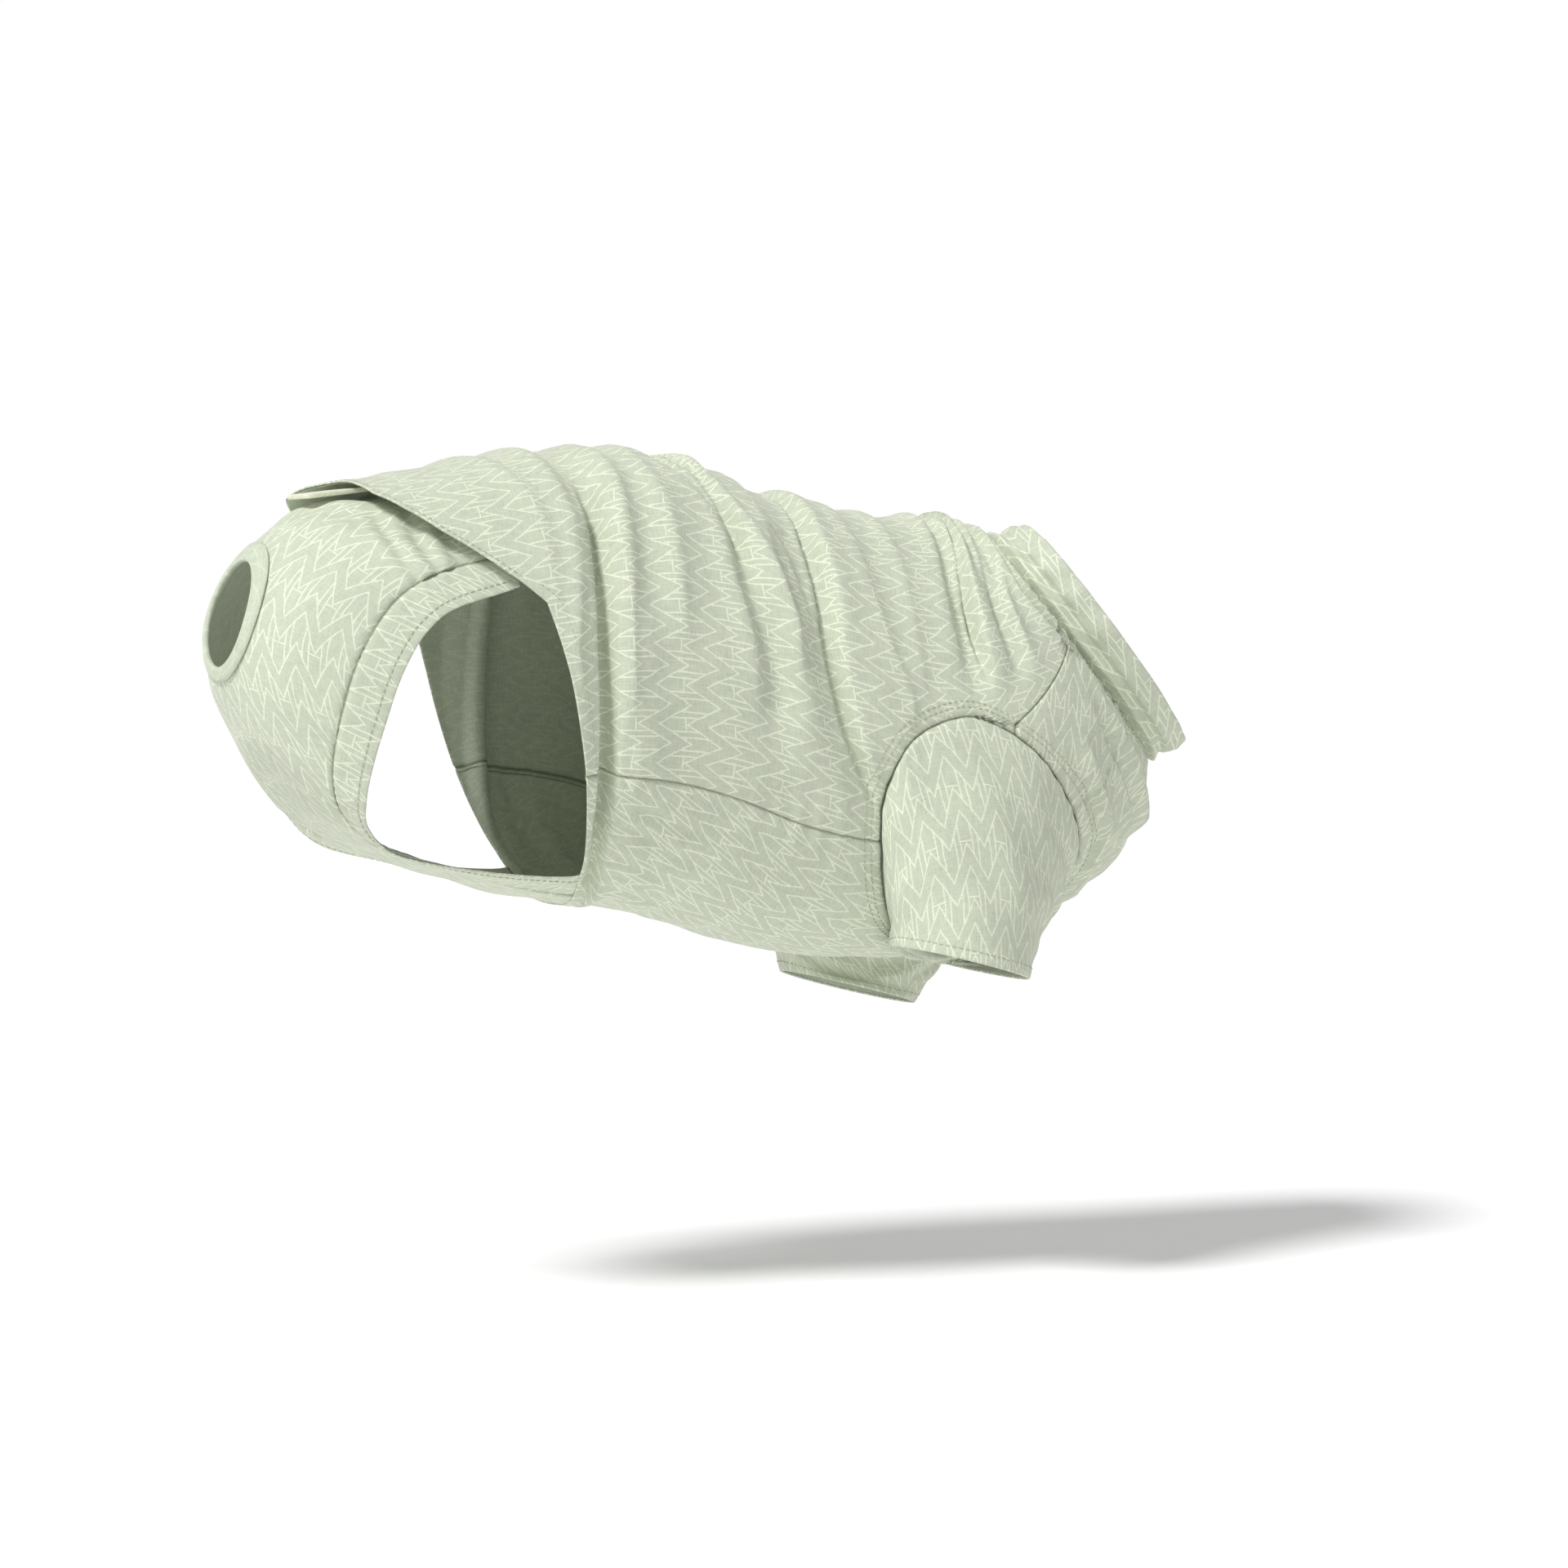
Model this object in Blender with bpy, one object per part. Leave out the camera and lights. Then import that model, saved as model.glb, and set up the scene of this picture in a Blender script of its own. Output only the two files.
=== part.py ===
"""A one-piece cloth suit for a small dog, in its worn form: +X to the head, +Y to the wearer's left."""

import bpy
import bmesh
from math import atan2, cos, exp, floor, log, pi, radians, sin
from mathutils import Vector

# Driving dimensions, in metres
BODY_LENGTH = 0.400
BODY_DEPTH = 0.220
BODY_WIDTH = 0.152
WALL = 0.0018
SEAM_GAP = 0.0003
COLLAR_WIDTH = 0.019
COLLAR_FLARE = 0.004
CUFF_DIAMETER = 0.064
SLEEVE_BULGE = 0.007
SLEEVE_UNDERSIDE = 0.55
LEFT_SLEEVE_DROP = 0.019
LEFT_SLEEVE_FORWARD = 0.007
BAND_WIDTH = 0.018
TAIL_HOLE = 0.044
TAB_LENGTH = 0.038
TAB_WIDTH = 0.024
TAB_THICKNESS = 0.0022
TAB_OVERLAP = 0.018
TAB_CLEARANCE = 0.0017
TAB_CORNER = 0.004
FOLD_DEPTH = 0.0034

# Sections of the trunk from the rear flap to the neck. top and low are x and z on the middle plane, as
# shares of BODY_LENGTH and BODY_DEPTH, half is a share of BODY_WIDTH, level is where the widest line
# lies on the way down, and turn is how far the section yaws to the right, as x for each y.
TRUNK = [
    {"top": (-0.445, -0.086), "low": (-0.400, -0.800), "half": 0.400, "level": 0.45, "turn": 0.00},
    {"top": (-0.375, -0.064), "low": (-0.320, -0.880), "half": 0.462, "level": 0.46, "turn": 0.00},
    {"top": (-0.300, -0.041), "low": (-0.240, -0.905), "half": 0.492, "level": 0.47, "turn": 0.00},
    {"top": (-0.200, -0.008), "low": (-0.170, -0.905), "half": 0.500, "level": 0.48, "turn": 0.00},
    {"top": (-0.100, 0.008), "low": (-0.085, -0.908), "half": 0.500, "level": 0.49, "turn": 0.00},
    {"top": (0.000, -0.006), "low": (0.010, -0.945), "half": 0.500, "level": 0.50, "turn": 0.00},
    {"top": (0.100, -0.052), "low": (0.110, -1.000), "half": 0.500, "level": 0.52, "turn": 0.00},
    {"top": (0.200, -0.100), "low": (0.220, -1.030), "half": 0.500, "level": 0.53, "turn": 0.00},
    {"top": (0.290, -0.120), "low": (0.340, -1.028), "half": 0.500, "level": 0.54, "turn": 0.03},
    {"top": (0.345, -0.116), "low": (0.480, -0.960), "half": 0.490, "level": 0.54, "turn": 0.12},
    {"top": (0.390, -0.138), "low": (0.623, -0.805), "half": 0.440, "level": 0.52, "turn": 0.28},
    {"top": (0.430, -0.168), "low": (0.650, -0.630), "half": 0.352, "level": 0.50, "turn": 0.46},
]

# Sections of the strip over the rump and between the legs: mid and edge are x and z shares as above.
RUMP = [
    {"mid": (-0.250, -0.068), "edge": (-0.250, -0.280), "half": 0.424},
    {"mid": (-0.340, -0.092), "edge": (-0.312, -0.315), "half": 0.424},
    {"mid": (-0.420, -0.120), "edge": (-0.342, -0.358), "half": 0.420},
    {"mid": (-0.478, -0.205), "edge": (-0.360, -0.408), "half": 0.414},
    {"mid": (-0.512, -0.300), "edge": (-0.373, -0.462), "half": 0.405},
    {"mid": (-0.518, -0.400), "edge": (-0.383, -0.526), "half": 0.390},
    {"mid": (-0.500, -0.512), "edge": (-0.392, -0.602), "half": 0.360},
    {"mid": (-0.466, -0.612), "edge": (-0.395, -0.680), "half": 0.318},
    {"mid": (-0.420, -0.700), "edge": (-0.385, -0.740), "half": 0.276},
    {"mid": (-0.350, -0.785), "edge": (-0.345, -0.795), "half": 0.252},
    {"mid": (-0.250, -0.855), "edge": (-0.250, -0.840), "half": 0.246},
    {"mid": (-0.150, -0.900), "edge": (-0.150, -0.880), "half": 0.246},
]

# Folds of the trunk: points of place along and place around, depth as a share of FOLD_DEPTH, and
# half-width as a share of BODY_LENGTH. A fold fades out over FOLD_FADE around past each end, and has a
# low ridge beside its valley, FOLD_RIDGE_PLACE half-widths towards the head.
FOLD_FADE = 0.10
FOLD_RIDGE = 0.45
FOLD_RIDGE_PLACE = 1.7
FOLDS = [
    {"name": "flank_pleat", "depth": 1.6, "width": 0.020,
     "path": [(0.312, 0.12), (0.304, 0.33), (0.308, 0.58), (0.300, 0.72), (0.314, 0.84)]},
    {"name": "armpit_fold", "depth": 1.3, "width": 0.022,
     "path": [(0.585, 0.06), (0.582, 0.25), (0.577, 0.40), (0.587, 0.50), (0.613, 0.60), (0.655, 0.67)]},
    {"name": "back_fold", "depth": 0.8, "width": 0.020,
     "path": [(0.437, 0.05), (0.467, 0.15), (0.480, 0.25), (0.494, 0.38), (0.505, 0.48)]},
    {"name": "loin_fold", "depth": 0.6, "width": 0.018,
     "path": [(0.375, 0.05), (0.380, 0.20), (0.370, 0.36)]},
    {"name": "withers_fold", "depth": 0.9, "width": 0.018,
     "path": [(0.800, 0.06), (0.762, 0.18), (0.745, 0.30), (0.741, 0.36)]},
    {"name": "collar_fold", "depth": 0.7, "width": 0.014,
     "path": [(0.865, 0.06), (0.825, 0.20), (0.810, 0.30), (0.815, 0.36)]},
    {"name": "chest_fold", "depth": 0.8, "width": 0.018,
     "path": [(0.910, 0.62), (0.915, 0.78), (0.900, 0.92)]},
    {"name": "belly_pucker", "depth": 0.5, "width": 0.014,
     "path": [(0.375, 0.72), (0.395, 0.80), (0.425, 0.92)]},
]

# Seams and edges on the trunk: place around, from 0 at the spine to 1 at the belly, and place along.
# The armhole's loop has place along and place around, from its front over its top. SHOULDER_SEAM and
# ARMHOLE_SEAM are the gaps of the slanting seam and the round one as shares of SEAM_GAP.
REAR_EDGE = [(0.000, 0.090), (0.070, 0.088), (0.136, 0.092), (0.200, 0.118), (0.260, 0.152),
             (0.320, 0.195), (0.400, 0.250), (0.500, 0.268), (0.650, 0.290), (0.800, 0.310), (1.000, 0.328)]
FRONT_EDGE = [(0.000, 1.000), (0.400, 1.000), (0.420, 0.935), (0.440, 0.860), (0.465, 0.785),
              (0.600, 0.755), (1.000, 0.755)]
SIDE_SEAM = 0.645
SHOULDER_SEAM = 1.5
ARMHOLE_SEAM = 1.4
CROTCH_PLACE = 0.845
ARMHOLE_CENTRE = (0.738, 0.665)
ARMHOLE = [(0.842, 0.690), (0.812, 0.530), (0.730, 0.442), (0.648, 0.490),
           (0.622, 0.610), (0.652, 0.790), (0.738, 0.893), (0.820, 0.840)]
FLAP_SKEW = 0.045
FLAP_CORNER = 0.36

# The tab falls TAB_TILT from level towards its free end, as the flap above it does.
TAB_TILT = radians(-7)

# The cuff's middle as x, y and z shares, and how far its rim tilts down to the head. ROUNDNESS squares
# the trunk's sections a little. The rump strip wraps RUMP_WRAP to each side of its middle, and from
# RUMP_MEETING along it eases into the trunk's rear edge. The tail hole lies at TAIL_PLACE along it.
CUFF = {"x": 0.312, "y": 0.385, "z": -1.034}
CUFF_TILT = radians(-15)
ROUNDNESS = 0.85
RUMP_WRAP = radians(80)
RUMP_MEETING = 0.80
TAIL_PLACE = 0.39
TAIL_TILT = radians(80)

# Rows around the panels: places from the spine that both halves and both sides of a seam share.
BACK_ROWS = (0.000, 0.080, 0.160, 0.240, 0.320, 0.400, 0.420, 0.440, 0.465, 0.530, 0.600, 0.645)
CHEST_ROWS = (0.400, 0.420, 0.440, 0.465, 0.530, 0.600, 0.670, 0.750, 0.830, 0.910, 1.000)
BELLY_ROWS = (0.645, 0.700, 0.750, 0.800, 0.850, 0.900, 0.950, 1.000)
BACK_CELLS = 44
BACK_STOPS = (0.345, 0.745)
BACK_SHARES = (0.0, 10 / BACK_CELLS, 32 / BACK_CELLS, 1.0)
BELLY_CELLS = 24
CHEST_CELLS = 12
COLLAR_CELLS = (3, 44)
SLEEVE_CELLS = (7, 28)
RUMP_CELLS = (27, 12)
BAND_CELLS = (27, 2)
BAND_SAMPLES = 8
CUTTER_SEGMENTS = 40
CUTTER_RING = 0.3
CUTTER_REACH = 6 * WALL
TAIL_SEGMENTS = 24
TAB_CORNER_SEGMENTS = 3
SHARP_ANGLE = radians(50)

# The step in shares over which a surface's directions are measured.
STEP = 0.002

CLOTH = {"colour": (0.56, 0.62, 0.47), "roughness": 0.9}
TAB_PLASTIC = {"colour": (0.86, 0.87, 0.70), "roughness": 0.7}


def clear_scene():
    for thing in list(bpy.data.objects):
        bpy.data.objects.remove(thing)


def curve_at(values, share):
    """A smooth curve through evenly spaced values, at a share from 0 to 1 and a little past it."""
    spans = len(values) - 1
    place = share * spans
    k = min(max(int(place), 0), spans - 1)
    t = place - k
    p1 = values[k]
    p2 = values[k + 1]
    p0 = values[k - 1] if k > 0 else 2 * p1 - p2
    p3 = values[k + 2] if k + 2 <= spans else 2 * p2 - p1
    return 0.5 * (2 * p1 + (p2 - p0) * t + (2 * p0 - 5 * p1 + 4 * p2 - p3) * t * t
                  + (3 * p1 - p0 - 3 * p2 + p3) * t ** 3)


def line_at(pairs, place):
    """The straight-line value between pairs of place and value."""
    for (x0, y0), (x1, y1) in zip(pairs, pairs[1:]):
        if place <= x1:
            return y0 + (y1 - y0) * (place - x0) / (x1 - x0)
    return pairs[-1][1]


def ease(t):
    t = min(max(t, 0.0), 1.0)
    return t * t * (3 - 2 * t)


def plane_point(share_x, share_z):
    return Vector((share_x * BODY_LENGTH, 0, share_z * BODY_DEPTH))


def smooth_trunk(along, around):
    """A point of the trunk's outer face before its folds. around is negative on the right side."""
    top = plane_point(*(curve_at([row["top"][k] for row in TRUNK], along) for k in (0, 1)))
    low = plane_point(*(curve_at([row["low"][k] for row in TRUNK], along) for k in (0, 1)))
    half = curve_at([row["half"] for row in TRUNK], along) * BODY_WIDTH
    level = curve_at([row["level"] for row in TRUNK], along)
    angle = abs(around) * pi
    down = max((1 - cos(angle)) / 2, 0.0) ** (log(level) / log(0.5))
    point = top + (low - top) * down
    point.y = half * max(sin(angle), 0.0) ** ROUNDNESS * (-1 if around < 0 else 1)
    point.x += point.y * curve_at([row["turn"] for row in TRUNK], along)
    return point


def fold_at(along, around):
    """How far the folds take the cloth in at a place of the trunk."""
    sink = 0.0
    place = abs(around)
    for fold in FOLDS:
        pairs = [(point[1], point[0]) for point in fold["path"]]
        first = pairs[0][0]
        last = pairs[-1][0]
        ends = ease((place - first) / FOLD_FADE + 1) * ease((last - place) / FOLD_FADE + 1)
        if ends == 0:
            continue
        centre = line_at(pairs, min(max(place, first), last))
        reach = (along - centre) * trunk_run() / (fold["width"] * BODY_LENGTH)
        ridge = FOLD_RIDGE * exp(-(reach - FOLD_RIDGE_PLACE) ** 2)
        sink += fold["depth"] * ends * (exp(-reach * reach) - ridge)
    return sink * FOLD_DEPTH


def trunk_normal(along, around):
    """The outward direction of the trunk before its folds."""
    around = min(max(abs(around), STEP), 1 - STEP) * (-1 if around < 0 else 1)
    run = smooth_trunk(along + STEP, around) - smooth_trunk(along - STEP, around)
    turn = smooth_trunk(along, around + STEP) - smooth_trunk(along, around - STEP)
    return run.cross(turn).normalized()


def trunk(along, around):
    return smooth_trunk(along, around) - trunk_normal(along, around) * fold_at(along, around)


def rump(along, across):
    """A point of the rump strip's outer face. across runs from -1 on the right edge to 1."""
    mid = plane_point(*(curve_at([row["mid"][k] for row in RUMP], along) for k in (0, 1)))
    edge = plane_point(*(curve_at([row["edge"][k] for row in RUMP], along) for k in (0, 1)))
    half = curve_at([row["half"] for row in RUMP], along) * BODY_WIDTH
    angle = across * RUMP_WRAP
    point = mid + (edge - mid) * (1 - cos(angle)) / (1 - cos(RUMP_WRAP))
    point.y = half * sin(angle) / sin(RUMP_WRAP)
    around = (1 - abs(across) * (1 - CROTCH_PLACE)) * (-1 if across < 0 else 1)
    rear = rear_edge(around) - seam_along()
    meeting = trunk(rear, around)
    return point.lerp(meeting, ease((along - RUMP_MEETING) / (1 - RUMP_MEETING)))


def trunk_run():
    """The length that one unit along the trunk covers at its side."""
    return (TRUNK[-1]["top"][0] - TRUNK[0]["top"][0]) * BODY_LENGTH


def slab(name, surface, cells, material, closed=False):
    """A cloth piece of even wall between a surface of two shares, s along and t around, and its inner face.

    The two shares turn so that s crossed with t points out of the cloth.
    """
    mesh = bmesh.new()
    bmesh.ops.create_grid(mesh, x_segments=cells[0], y_segments=cells[1], size=0.5)
    share_s = mesh.verts.layers.float.new("s")
    share_t = mesh.verts.layers.float.new("t")
    for vert in mesh.verts:
        vert[share_s] = vert.co.x + 0.5
        vert[share_t] = vert.co.y + 0.5
        vert.co = surface(vert[share_s], vert[share_t])
    if closed:
        bmesh.ops.remove_doubles(mesh, verts=mesh.verts, dist=SEAM_GAP / 3)
    outer = mesh.faces[:]
    result = bmesh.ops.extrude_face_region(mesh, geom=outer, use_keep_orig=True)
    inner = [item for item in result["geom"] if isinstance(item, bmesh.types.BMVert)]
    for vert in inner:
        vert.co -= outward(surface, vert[share_s], vert[share_t]) * WALL
    face_out(mesh)
    return add_object(name, mesh, material)


def face_out(mesh):
    """Turns the faces of a closed mesh outward."""
    bmesh.ops.recalc_face_normals(mesh, faces=mesh.faces)
    if mesh.calc_volume(signed=True) < 0:
        bmesh.ops.reverse_faces(mesh, faces=mesh.faces)


def outward(surface, s, t):
    """The direction out of a surface of two shares, measured just inside its borders."""
    run = surface(min(s + STEP, 1), t) - surface(max(s - STEP, 0), t)
    turn = surface(s, min(t + STEP, 1)) - surface(s, max(t - STEP, 0))
    return run.cross(turn).normalized()


def add_object(name, mesh, material):
    data = bpy.data.meshes.new(name)
    mesh.to_mesh(data)
    mesh.free()
    data.shade_smooth()
    data.set_sharp_from_angle(angle=SHARP_ANGLE)
    data.materials.append(material)
    thing = bpy.data.objects.new(name, data)
    bpy.context.collection.objects.link(thing)
    return thing


def add_material(name, look):
    material = bpy.data.materials.new(name)
    material.use_nodes = True
    shader = material.node_tree.nodes["Principled BSDF"]
    shader.inputs["Base Color"].default_value = (*look["colour"], 1)
    shader.inputs["Roughness"].default_value = look["roughness"]
    return material


def seam_around(share=1.0):
    """A share of the seam gap as a place around, at the trunk's least deep sections."""
    return share * SEAM_GAP / (BODY_DEPTH / 2 + BODY_WIDTH / 2)


def seam_along(share=1.0):
    return share * SEAM_GAP / trunk_run()


def row_at(rows, share):
    """The place around at a share of the way across a panel that runs over the spine or the belly."""
    mirrored = [-row for row in reversed(rows)] + list(rows[1:])
    if rows[0] > 0:
        mirrored = list(rows) + [2 - row for row in reversed(rows[:-1])]
    place = share * (len(mirrored) - 1)
    k = min(int(place), len(mirrored) - 2)
    return mirrored[k] + (mirrored[k + 1] - mirrored[k]) * (place - k)


def signed_place(around):
    return around if around <= 1 else around - 2


def rear_edge(around):
    """The place along of the trunk's rear edge; the flap's left half reaches further back."""
    place = line_at(REAR_EDGE, abs(around))
    if around > 0:
        place -= FLAP_SKEW * sin(pi * min(around / FLAP_CORNER, 1))
    return place


def along_at(share, stops, shares):
    """The place along at a share of a panel whose cells keep to the inner stops."""
    return line_at(list(zip(shares, stops)), share)


def add_back(material):
    rows = [*BACK_ROWS[:-1], SIDE_SEAM - seam_around(0.5)]

    def surface(s, t):
        around = row_at(rows, t)
        stops = (rear_edge(around), *BACK_STOPS, line_at(FRONT_EDGE, abs(around)))
        return trunk(along_at(s, stops, BACK_SHARES), around)
    return slab("back_panel", surface, (BACK_CELLS, 2 * len(rows) - 2), material)


def add_belly(material):
    rows = [SIDE_SEAM + seam_around(0.5), *BELLY_ROWS[1:]]

    def surface(s, t):
        around = signed_place(row_at(rows, t))
        start = rear_edge(around)
        end = line_at(FRONT_EDGE, abs(around)) - seam_along()
        return trunk(start + (end - start) * s, around)
    return slab("belly_panel", surface, (BELLY_CELLS, 2 * len(rows) - 2), material)


def add_chest(material):
    shift = seam_around(SHOULDER_SEAM)

    def surface(s, t):
        row = signed_place(row_at(CHEST_ROWS, t))
        away = min(shift, 1 - abs(row))
        around = row + (away if row > 0 else -away)
        start = line_at(FRONT_EDGE, abs(row)) + seam_along(SHOULDER_SEAM)
        start = min(start, 1 - seam_along(2 * SHOULDER_SEAM))
        return trunk(start + (1 - start) * s, around)
    return slab("chest_panel", surface, (CHEST_CELLS, 2 * len(CHEST_ROWS) - 2), material)


def neck_axis():
    """The direction out of the neck hole, square to its rim."""
    down = smooth_trunk(1, 1) - smooth_trunk(1, 0)
    across = smooth_trunk(1, 0.5) - smooth_trunk(1, -0.5)
    return down.cross(across).normalized()


def add_collar(material):
    axis = neck_axis()
    middle = (smooth_trunk(1, 0) + smooth_trunk(1, 1)) / 2

    def surface(s, t):
        base = smooth_trunk(1, 2 * t - 1)
        out = base - middle
        out = (out - axis * out.dot(axis)).normalized()
        return base + axis * (SEAM_GAP + COLLAR_WIDTH * s) + out * COLLAR_FLARE * ease(s)
    return slab("collar", surface, COLLAR_CELLS, material, closed=True)


def loop_at(values, turn):
    """A smooth closed curve through evenly spaced values, at a turn in radians."""
    place = turn / (2 * pi) * len(values)
    k = floor(place)
    t = place - k
    p0, p1, p2, p3 = (values[(k + step) % len(values)] for step in (-1, 0, 1, 2))
    return 0.5 * (2 * p1 + (p2 - p0) * t + (2 * p0 - 5 * p1 + 4 * p2 - p3) * t * t
                  + (3 * p1 - p0 - 3 * p2 + p3) * t ** 3)


def armhole_place(turn, size, side):
    """A place along and around on the armhole's loop, scaled by size about its centre."""
    along, around = (centre + (loop_at([point[k] for point in ARMHOLE], turn) - centre) * size
                     for k, centre in enumerate(ARMHOLE_CENTRE))
    return along, around * side


def widest_face(mesh):
    """The face with the most corners."""
    return max(mesh.faces, key=lambda face: len(face.verts))


def add_armhole_cutter(side):
    """A disc that follows the trunk, thick enough to cut one armhole."""
    mesh = bmesh.new()
    bmesh.ops.create_circle(mesh, cap_ends=True, segments=CUTTER_SEGMENTS, radius=1)
    bmesh.ops.inset_region(mesh, faces=mesh.faces[:], thickness=CUTTER_RING)
    bmesh.ops.inset_region(mesh, faces=[widest_face(mesh)], thickness=CUTTER_RING)
    bmesh.ops.poke(mesh, faces=[widest_face(mesh)])
    upper = mesh.faces[:]
    result = bmesh.ops.extrude_face_region(mesh, geom=upper, use_keep_orig=True)
    lower = {item for item in result["geom"] if isinstance(item, bmesh.types.BMVert)}
    for vert in mesh.verts:
        along, around = armhole_place(atan2(vert.co.y, vert.co.x), vert.co.xy.length, side)
        reach = -CUTTER_REACH if vert in lower else CUTTER_REACH
        vert.co = smooth_trunk(along, around) + trunk_normal(along, around) * reach
    face_out(mesh)
    cutter = add_object("armhole_cutter_left" if side > 0 else "armhole_cutter_right", mesh,
                        bpy.data.materials["cloth"])
    hide_cutter(cutter)
    return cutter


def hide_cutter(cutter):
    cutter.hide_render = True
    cutter.display_type = "WIRE"


def cut(target, cutter):
    change = target.modifiers.new("cut_" + cutter.name, "BOOLEAN")
    change.operation = "DIFFERENCE"
    change.solver = "EXACT"
    change.object = cutter


def add_sleeve(name, side, forward, drop, material):
    """A short sleeve from the armhole's loop down to its cuff."""
    centre = plane_point(CUFF["x"], CUFF["z"]) + Vector((forward, CUFF["y"] * BODY_WIDTH * side, -drop))
    radius = CUFF_DIAMETER / 2
    inset = 1 - ARMHOLE_SEAM * SEAM_GAP / ((ARMHOLE[0][0] - ARMHOLE_CENTRE[0]) * trunk_run())

    def surface(s, t):
        turn = 2 * pi * t * side
        along, around = armhole_place(turn, inset, side)
        loop = trunk(along, around)
        normal = trunk_normal(along, around)
        x = radius * cos(turn)
        y = radius * sin(turn)
        cuff = centre + Vector((x * cos(CUFF_TILT), y * side, x * sin(CUFF_TILT)))
        bulge = normal * SLEEVE_BULGE * sin(pi * s) * max(sin(turn), SLEEVE_UNDERSIDE)
        return loop.lerp(cuff, s) + bulge
    return slab(name, surface, SLEEVE_CELLS, material, closed=True)


def band_seam(along):
    """The place across where the band starts, one band width in from the edge."""
    points = [rump(along, k / BAND_SAMPLES) for k in range(BAND_SAMPLES + 1)]
    length = sum((b - a).length for a, b in zip(points, points[1:]))
    return 1 - BAND_WIDTH / length


def add_rump(material):
    def surface(s, t):
        reach = band_seam(1 - s) - SEAM_GAP / (BODY_WIDTH / 2)
        return rump(1 - s, reach * (2 * t - 1))
    return slab("rump_panel", surface, RUMP_CELLS, material)


def add_band(name, side, material):
    def surface(s, t):
        start = band_seam(1 - s)
        out = t if side > 0 else 1 - t
        return rump(1 - s, (start + (1 - start) * out) * side)
    return slab(name, surface, BAND_CELLS, material)


def add_tail_cutter():
    mesh = bmesh.new()
    bmesh.ops.create_cone(mesh, cap_ends=True, segments=TAIL_SEGMENTS, radius1=TAIL_HOLE / 2,
                          radius2=TAIL_HOLE / 2, depth=TAIL_HOLE)
    cutter = add_object("tail_cutter", mesh, bpy.data.materials["cloth"])
    cutter.rotation_euler = (0, TAIL_TILT, 0)
    cutter.location = rump(TAIL_PLACE, 0)
    hide_cutter(cutter)
    return cutter


def add_tab(material):
    mesh = bmesh.new()
    bmesh.ops.create_cube(mesh, size=1)
    bmesh.ops.scale(mesh, verts=mesh.verts, vec=(TAB_LENGTH, TAB_WIDTH, TAB_THICKNESS))
    corners = [edge for edge in mesh.edges
               if abs(edge.verts[0].co.z - edge.verts[1].co.z) > TAB_THICKNESS / 2]
    bmesh.ops.bevel(mesh, geom=corners, offset=TAB_CORNER, segments=TAB_CORNER_SEGMENTS, profile=0.5,
                    affect="EDGES", clamp_overlap=True)
    tab = add_object("closure_tab", mesh, material)
    hem = trunk(REAR_EDGE[0][1], 0)
    drop = WALL + TAB_CLEARANCE + TAB_THICKNESS / 2
    tab.rotation_euler = (0, TAB_TILT, 0)
    tab.location = hem + Vector((TAB_OVERLAP - TAB_LENGTH / 2, 0, -drop))
    return tab


def main():
    clear_scene()
    cloth = add_material("cloth", CLOTH)
    hook = add_material("closure", TAB_PLASTIC)
    back = add_back(cloth)
    belly = add_belly(cloth)
    chest = add_chest(cloth)
    add_collar(cloth)
    for side in (-1, 1):
        cutter = add_armhole_cutter(side)
        for panel in (back, belly, chest):
            cut(panel, cutter)
    add_sleeve("sleeve_right", -1, 0, 0, cloth)
    add_sleeve("sleeve_left", 1, LEFT_SLEEVE_FORWARD, LEFT_SLEEVE_DROP, cloth)
    strip = add_rump(cloth)
    cut(strip, add_tail_cutter())
    add_band("leg_band_right", -1, cloth)
    add_band("leg_band_left", 1, cloth)
    add_tab(hook)


main()
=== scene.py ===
from math import cos, log, pi, radians, sin
import bmesh
import bpy
import numpy as np
from mathutils import Matrix, Vector


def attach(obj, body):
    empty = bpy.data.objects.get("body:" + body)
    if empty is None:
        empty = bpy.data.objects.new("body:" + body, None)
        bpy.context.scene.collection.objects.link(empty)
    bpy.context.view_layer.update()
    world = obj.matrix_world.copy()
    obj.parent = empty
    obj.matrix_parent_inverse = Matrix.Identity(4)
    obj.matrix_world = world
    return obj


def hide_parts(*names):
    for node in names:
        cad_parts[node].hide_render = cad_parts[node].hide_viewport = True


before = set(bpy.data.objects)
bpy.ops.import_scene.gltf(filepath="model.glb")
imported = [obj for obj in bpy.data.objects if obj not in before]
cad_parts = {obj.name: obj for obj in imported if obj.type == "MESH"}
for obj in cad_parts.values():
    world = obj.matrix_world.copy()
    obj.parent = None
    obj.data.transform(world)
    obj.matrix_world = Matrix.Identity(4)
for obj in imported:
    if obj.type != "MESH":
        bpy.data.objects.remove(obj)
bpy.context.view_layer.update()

# the suit's form, the same named sizes and sections as the solids

suit = {"length": 0.400, "depth": 0.220, "width": 0.152, "roundness": 0.85, "foldDepth": 0.0034,
        "foldFade": 0.10, "foldRidge": 0.45, "ridgePlace": 1.7, "wall": 0.0012}

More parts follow.
